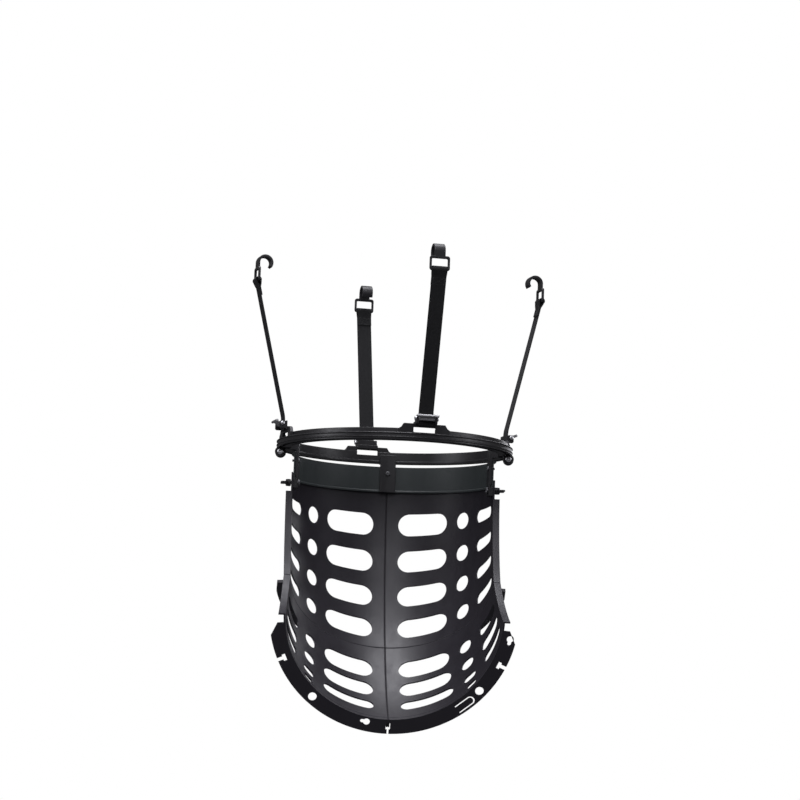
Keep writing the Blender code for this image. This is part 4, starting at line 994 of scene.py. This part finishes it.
def cell(turns, bends, slot=None):
    """Numbers of one cell. A slot gives its row, its turns and its height."""
    middle = (sum(turns) / 2, sum(bends) / 2)
    row, span, height = slot if slot else (middle[1], None, 0.0)
    radius = section_radius(max(row, 0.0))
    turn_centre = sum(span) / 2 if slot else middle[0]
    half_long = max(radians(span[1] - span[0]) / 2 * radius, height / 2) if slot else 0.0
    clear_turn = min(90.0, max(0.0, turn_centre))
    return {"plain": 0.0 if slot else 1.0, "turn_low": turns[0], "turn_high": turns[1],
            "bend_low": bends[0], "bend_high": bends[1], "turn_centre": turn_centre,
            "bend_centre": row, "half_long": half_long, "half_high": height / 2,
            "turn_scale": radians(1) * radius,
            "bend_scale": radians(1) * (BEND_OFFSET + radius * cos(radians(clear_turn)))}


def hole_span(length):
    """Angles between which a small hole of that length lies."""
    half_turn = degrees(length / 2 / CHUTE_RADIUS)
    return (ROUND_PLACE - half_turn, ROUND_PLACE + half_turn)


def wall_cells(upper):
    """All cells of an upper or lower panel."""
    columns = list(zip(COLUMN_BOUNDS, COLUMN_BOUNDS[1:]))
    seam, edge = (-SEAM_FLANGE * 1000, 0.0), (90.0, 90.0 + EDGE_FLANGE * 1000)
    round_span = hole_span(ROUND_SIZE if upper else LOW_ROUND_LENGTH)
    bounds, rows = (UPPER_BOUNDS, UPPER_ROWS) if upper else (LOWER_BOUNDS, LOWER_ROWS)
    cells = []
    for bends, (row, long_height, outer_height, round_height) in zip(zip(bounds, bounds[1:]), rows):
        for turns, span, height in zip(columns, (LONG_SPAN, round_span, OUTER_SPAN),
                                       (long_height, round_height, outer_height)):
            cells.append(cell(turns, bends, (row, span, height)))
        cells += [cell(seam, bends), cell(edge, bends)]
    if upper:
        for bends in ((-OVERLAP * 1000, 0.0), (0.0, FLANGE_CLEAR_BEND)):
            cells += [cell(turns, bends) for turns in [seam] + columns]
    else:
        bends = (LOWER_BOUNDS[-1], LIP_BEND)
        cells += [cell(turns, bends) for turns in (seam, columns[0], columns[2], edge)]
        cells.append(cell(columns[1], bends, (LIP_HOLE_ROW, hole_span(LIP_HOLE_LENGTH), LIP_HOLE_HEIGHT)))
    return cells


def panel_wall(side, upper, forms):
    """Wall of one panel with its thickness and softened edges."""
    cells = wall_cells(upper)
    base = bpy.data.meshes.new("cells")
    base.from_pydata([(0, 0, 0)] * len(cells), [], [])
    for name in cells[0]:
        store(base, name, [item[name] for item in cells])
    flare = (LIP_RADIUS - CHUTE_RADIUS) / (LIP_BEND - JOINT_BEND)
    skin = WALL_CELLS.run(base, Ringed=forms[0], Plain=forms[1], Side=float(side), Radius=CHUTE_RADIUS,
                          Flare=flare, Joint=JOINT_BEND, Reach=BEND_OFFSET, Level=CHUTE_LEVEL,
                          Gap=FIT_GAP / 2, Finish=PLASTIC)
    wall = with_modifiers(skin, ("SOLIDIFY", {"thickness": WALL, "offset": float(side),
                                              "use_even_offset": True, "use_rim": True}))
    return soft_edges(closed(wall, 1e-7), 0.0006, 40.0)


def at_polar(radius, angle):
    return Vector((radius * sin(radians(angle)), radius * cos(radians(angle))))


def flange_form(side, bend, inner, outer, shift, notches=False, holes=()):
    """Flat flange in a cross section, cut off at a slant beside the free edge."""
    start = FIT_GAP / 2 + WALL / 2
    corner = 90 - CORNER_ANGLE
    fall = corner - CORNER_FALL
    last = 90 - degrees(asin(start / outer))
    points = [(start, sqrt(inner ** 2 - start ** 2))]
    points += arc(inner, SEAM_SIDE, fall, step=1.5)
    points += arc(min(CORNER_RADIUS, outer - 0.002), fall, fall)[:1]
    if notches:
        half = degrees(NOTCH_NECK_HALF / outer)
        middle = 90 - NOTCH_ANGLE
        points += arc(outer, corner, middle - half, step=1.5)
        points += local_outline(notch(), outer, NOTCH_ANGLE)
        points += arc(outer, middle + half, last, step=1.5)
        low, high = inner + WALL / 2 + SEAM_NOTCH_RISE, SEAM_NOTCH_END
        points += [(start, high), (SEAM_NOTCH_HALF, high), (SEAM_NOTCH_HALF, low), (start, low)]
    else:
        points += arc(outer, corner, last, step=1.5)
    outline = [(side * x, y) for x, y in points]
    place = section(bend) @ Matrix.Translation((0, 0, shift))
    return moved(flat_form(outline, holes, WALL, 0.0005), place)


def local_outline(points, radius, angle):
    spot = at_polar(radius, angle)
    out = spot.normalized()
    along = Vector((out.y, -out.x))
    return [tuple(spot + along * x + out * y) for x, y in points]


def keyhole():
    big_radius, small_radius, length = 0.0055, 0.003, 0.0105
    neck = degrees(asin(small_radius / big_radius))
    big = arc(big_radius, neck, 360 - neck, step=12)
    small = arc(small_radius, -90, 90, (length - small_radius, 0), 12)
    return [(-x, y) for x, y in big + small]


def notch():
    """T notch that opens at the flange's outer edge, in the order of the outline."""
    neck, head = -NOTCH_NECK_DEPTH, -NOTCH_NECK_DEPTH - NOTCH_HEAD_DEPTH
    half = [(NOTCH_NECK_HALF, neck), (NOTCH_HEAD_HALF, neck), (NOTCH_HEAD_HALF, head)]
    return half + [(-x, y) for x, y in reversed(half)]


def tongue():
    outer, inner, bend, far = 0.0073, 0.0051, 0.0098, -0.016
    outside = arc(outer, -90, 90, (bend, 0), 12) + [(far, outer), (far, inner)]
    return outside + arc(inner, 90, -90, (bend, 0), 12) + [(far, -inner), (far, -outer)]


def lip_holes(side):
    """Plain hole and keyhole of one half of the lip flange. The right half has a spring tongue too."""
    hole = circle(LIP_HOLE_RADIUS)
    features = [(hole, LEFT_HOLE_PLACE), (keyhole(), LEFT_KEYHOLE_PLACE)]
    if side > 0:
        features = [(hole, RIGHT_HOLE_PLACE), (keyhole(), RIGHT_KEYHOLE_PLACE), (tongue(), TONGUE_PLACE)]
    return [local_outline(form, *place) for form, place in features]


def make_chute():
    forms = cell_forms()
    back = WALL / 2 + SET_BACK
    end_gap = degrees(FIT_GAP / 2 / (BEND_OFFSET + CHUTE_RADIUS))
    for side, hand in ((-1, "left"), (1, "right")):
        wall = panel_wall(side, True, forms)
        flange = flange_form(side, JOINT_BEND - end_gap, CHUTE_RADIUS + WALL / 2, JOINT_FLANGE, back)
        add_piece("slotted_panel_upper_" + hand, joined([wall, flange]), PLASTIC,
                  "carriage", ["chute_upper_" + hand])
        wall = panel_wall(side, False, forms)
        flange = flange_form(side, JOINT_BEND + end_gap, CHUTE_RADIUS + WALL / 2, JOINT_FLANGE, -back)
        lip = flange_form(side, LIP_BEND, LIP_RADIUS + WALL / 2, LIP_FLANGE, WALL / 2 + LIP_SET_BACK,
                          True, lip_holes(side))
        opening = block((side * SEAM_NOTCH_HALF, LIP_RADIUS + WALL + SEAM_NOTCH_RISE, SEAM_NOTCH_DEPTH),
                        (0, SEAM_NOTCH_END, -SEAM_NOTCH_DEPTH))
        wall = cut(wall, closed(moved(opening, section(LIP_BEND))))
        add_piece("slotted_panel_lower_" + hand, joined([wall, flange, lip]), PLASTIC, "carriage",
                  ["chute_lower_" + hand])
    for form in forms:
        bpy.data.objects.remove(form)


# Fasteners

def bolt_form(size, length):
    """Pan head bolt with a round socket: the head's seat is at Z = 0."""
    radius, head, h = size["radius"], size["head"], size["head_height"]
    return lathe([(0, h * 0.35), (head * 0.36, h * 0.40), (head * 0.40, h * 0.96), (head * 0.46, h),
                  (head * 0.70, h * 0.95), (head * 0.88, h * 0.78), (head, h * 0.45), (head, h * 0.06),
                  (head * 0.96, 0), (radius, 0), (radius, -length + radius * 0.25),
                  (radius * 0.75, -length), (0, -length)], 28)


def nut_form(size):
    bore = circle(size["radius"] + FIT_GAP, 20)
    made = flat_form(circle(size["nut"], 6), [bore], size["nut_height"], 0.00035)
    return moved(made, Matrix.Translation((0, 0, size["nut_height"] / 2)))


def side_place(side, distance):
    """On a side bolt's axis, at a distance from the middle, with +Z outwards."""
    turn = ALONG_X if side > 0 else AGAINST_X
    return Matrix.Translation((side * distance, SIDE_BOLT_Y, SIDE_BOLT_LEVEL)) @ turn


def make_fasteners():
    def set_of(name, form, places, body, nodes):
        """Fasteners of one kind. The photograph shows the carriage's ones dark."""
        # The carriage's fasteners get the darker copy of zinc, which is painted shade.
        finish = ZINC if body == "hanger" else SHADED_ZINC
        add_piece(name, scattered(form, places, finish), finish, body, nodes)

    flip = Matrix.Rotation(pi, 4, "X")
    size = RING_BOLT
    grip = FIT_GAP / 2 + LUG_LENGTH + FIT_GAP
    form = bolt_form(size, 2 * grip + size["nut_height"] + size["head_height"] / 2)
    ends = (("left", -1), ("right", 1))
    places = [lug_place(end) @ Matrix.Translation((0, 0, -grip)) @ flip for _, end in ends]
    set_of("lug_bolts", form, places, "hanger", ["ring_bolt_" + hand for hand, _ in ends])
    places = [lug_place(end) @ Matrix.Translation((0, 0, grip)) for _, end in ends]
    set_of("lug_nuts", nut_form(size), places, "hanger", ["ring_nut_" + hand for hand, _ in ends])

    screws = []
    for angle in CLIP_ANGLES.values():
        seat = azimuth(angle) @ Matrix.Translation((CLIP_INNER - FIT_GAP, 0, CLIP_SCREW_LEVEL))
        screws.append(seat @ AGAINST_X)
    length = CLIP_PLATE + 2 * FIT_GAP + COLLAR_WALL + CLIP_SCREW_END
    set_of("clip_screws", bolt_form(CLIP_SCREW, length), screws, "carriage",
           ["clip_screw_" + name for name in CLIP_ANGLES])

    size = PANEL_BOLT
    nut = nut_form(size)
    seam = [section(bend) @ Matrix.Translation((0, section_radius(bend) + SEAM_BOLT_RISE, 0)) @ ALONG_X
            for bend in SEAM_BOLT_BENDS]
    joint = []
    for angle in JOINT_BOLT_ANGLES:
        spot = at_polar(JOINT_BOLT_RADIUS, angle)
        joint.append(section(JOINT_BEND) @ Matrix.Translation((spot.x, spot.y, 0)))
    names = ("left_outer", "left_inner", "right_inner", "right_outer")
    for kind, places, grip, tags in (("seam", seam, FIT_GAP / 2 + WALL + FIT_GAP, ("1", "2", "3")),
                                     ("joint", joint, FIT_GAP / 2 + SET_BACK + WALL + FIT_GAP, names)):
        form = bolt_form(size, 2 * grip + size["nut_height"] + PANEL_BOLT_END)
        up, down = Matrix.Translation((0, 0, grip)), Matrix.Translation((0, 0, -grip)) @ flip
        set_of(kind + "_bolts", form, [place @ up for place in places], "carriage",
               ["%s_bolt_%s" % (kind, tag) for tag in tags])
        set_of(kind + "_nuts", nut.copy(), [place @ down for place in places], "carriage",
               ["%s_nut_%s" % (kind, tag) for tag in tags])

    face = CHUTE_RADIUS + WALL + FIT_GAP
    head_seat = sqrt(CLIP_INNER ** 2 - (SIDE_BOLT_Y + SIDE_BOLT["head"]) ** 2) - FIT_GAP
    length = face - head_seat + WING_HUB_HEIGHT + SIDE_BOLT_END
    places = [side_place(side, head_seat) @ flip for side in (-1, 1)]
    set_of("side_bolts", bolt_form(SIDE_BOLT, length), places, "carriage",
           ["side_bolt_left", "side_bolt_right"])


def make_wing_nuts():
    bore = SIDE_BOLT["radius"] + FIT_GAP
    face = CHUTE_RADIUS + WALL + FIT_GAP
    tip = (WING_SPAN - WING_TIP, WING_HEIGHT - WING_TIP)
    right = [(bore + 0.001, WING_ROOT), (WING_HUB, WING_ROOT)] + arc(WING_TIP, -60, 120, tip, 12)
    right += [(bore + 0.001, WING_HUB_HEIGHT - FIT_GAP)]
    for side, hand in ((-1, "left"), (1, "right")):
        seat = side_place(side, face)
        edge = WING_HUB_HEIGHT / 8
        hub = lathe([(bore, WING_HUB_HEIGHT), (WING_HUB - edge, WING_HUB_HEIGHT),
                     (WING_HUB - edge / 4, WING_HUB_HEIGHT - edge / 2), (WING_HUB, WING_HUB_HEIGHT / 2),
                     (WING_HUB, edge), (WING_HUB - edge, 0), (bore, 0), (bore, WING_HUB_HEIGHT)], 36)
        parts = [hub]
        for sign in (-1, 1):
            wing = flat_form([(sign * x, y) for x, y in softened(right, 0.001)], [], WING_THICKNESS, 0.0007)
            parts.append(moved(wing, Matrix.Rotation(pi / 2, 4, "Z") @ SIDE_ON))
        add_piece("moulded_wing_nut_" + hand, moved(joined(parts), seat), FRAME_PLASTIC, "wing_" + hand,
                  ["wing_nut_" + hand])


# Studio

FLOOR_LEVEL, FLOOR_RADIUS = -1.30, 25.0
FLOOR_FADE_START, FLOOR_FADE_END = 1.0, 3.0
LAMP_COLOUR = (0.95, 0.95, 1.0)


def make_floor():
    """Floor that looks pale and fades to the white background, but throws little light back up."""
    made, graph, place = new_finish("pale floor")
    split = graph.node("ShaderNodeSeparateXYZ", values={"Vector": place})
    x, y = split.out("X"), split.out("Y")
    away = (x * x + y * y) ** 0.5
    fade = graph.node("ShaderNodeMapRange", {"interpolation_type": "SMOOTHSTEP"},
                      {"Value": away, "From Min": FLOOR_FADE_START, "From Max": FLOOR_FADE_END})
    camera = graph.node("ShaderNodeLightPath").out("Is Camera Ray")
    matt = graph.node("ShaderNodeBsdfDiffuse", values={"Color": (0.80, 0.80, 0.80, 1)})
    white = graph.node("ShaderNodeEmission", values={"Color": (1, 1, 1, 1), "Strength": 1.0})
    dim = graph.node("ShaderNodeBsdfDiffuse", values={"Color": (0.16, 0.16, 0.165, 1)})
    seen = graph.node("ShaderNodeMixShader", values={"Fac": fade, 1: matt, 2: white})
    mixed = graph.node("ShaderNodeMixShader", values={"Fac": camera, 1: dim, 2: seen})
    graph.node("ShaderNodeOutputMaterial", values={"Surface": mixed})
    mesh = bpy.data.meshes.new("floor")
    def change(body):
        bmesh.ops.create_circle(body, cap_ends=True, segments=96, radius=FLOOR_RADIUS,
                                matrix=Matrix.Translation((0, 0, FLOOR_LEVEL)))
    worked(mesh, change)
    mesh.materials.append(made)
    linked("floor", mesh)


def make_world():
    world = bpy.data.worlds.new("studio")
    bpy.context.scene.world = world
    world.use_nodes = True
    world.node_tree.nodes.clear()
    graph = Graph(world.node_tree)
    path = graph.node("ShaderNodeLightPath")
    seen = path.out("Is Camera Ray").at_least(path.out("Is Transmission Ray"))
    strength = seen.at_least(path.out("Is Glossy Ray") * 0.12).at_least(0.07)
    light = graph.node("ShaderNodeBackground", values={"Color": (1, 1, 1, 1), "Strength": strength})
    graph.node("ShaderNodeOutputWorld", values={"Surface": light})


def add_lamp(name, place, target, size, power):
    """Rectangular soft lamp aimed at a point."""
    lamp = bpy.data.lights.new(name, "AREA")
    lamp.shape, (lamp.size, lamp.size_y), lamp.energy = "RECTANGLE", size, power
    lamp.color = LAMP_COLOUR
    made = linked(name, lamp)
    way = Vector(target) - Vector(place)
    made.matrix_world = Matrix.Translation(place) @ way.to_track_quat("-Z", "Y").to_matrix().to_4x4()


def make_lamps():
    middle = (0.0, 0.0, -0.45)
    add_lamp("lamp_above", (0.0, -0.1, 2.2), (0.0, -0.1, -0.6), (1.3, 1.9), 66.0)
    add_lamp("lamp_behind", (1.3, 2.7, 0.7), middle, (1.6, 1.6), 22.0)
    add_lamp("lamp_high_front", (0.0, -2.3, 1.6), (0.0, 0.0, -0.5), (1.6, 1.2), 26.0)
    add_lamp("lamp_left", (-2.3, -0.9, 0.2), middle, (0.8, 1.8), 20.0)
    add_lamp("lamp_right", (2.3, -0.8, 0.2), middle, (0.8, 1.8), 15.0)
    add_lamp("lamp_front", (-0.6, -3.2, 0.6), middle, (1.6, 1.2), 6.0)


def make_camera():
    """Camera at the photograph's viewing angle."""
    place, target, roll = Vector((-0.3499, -5.4889, -0.909)), Vector((0.0061, -0.0004, -0.2126)), 0.035
    ahead = (target - place).normalized()
    right = ahead.cross(Vector((0, 0, 1))).normalized()
    up = right.cross(ahead)
    x_axis = right * cos(roll) + up * sin(roll)
    y_axis = up * cos(roll) - right * sin(roll)
    camera = bpy.data.cameras.new("camera")
    camera.sensor_width, camera.lens = 36.0, 150.13
    made = linked("camera", camera)
    turn = Matrix((x_axis, y_axis, -ahead)).transposed().to_4x4()
    made.matrix_world = Matrix.Translation(place) @ turn
    bpy.context.scene.camera = made


# Making

make_camera()
make_ring()
make_hooks()
make_straps()
make_buckles()
make_collar()
make_chute()
make_fasteners()
make_wing_nuts()
make_floor()
make_world()
make_lamps()
bpy.context.scene.view_settings.view_transform = "Standard"
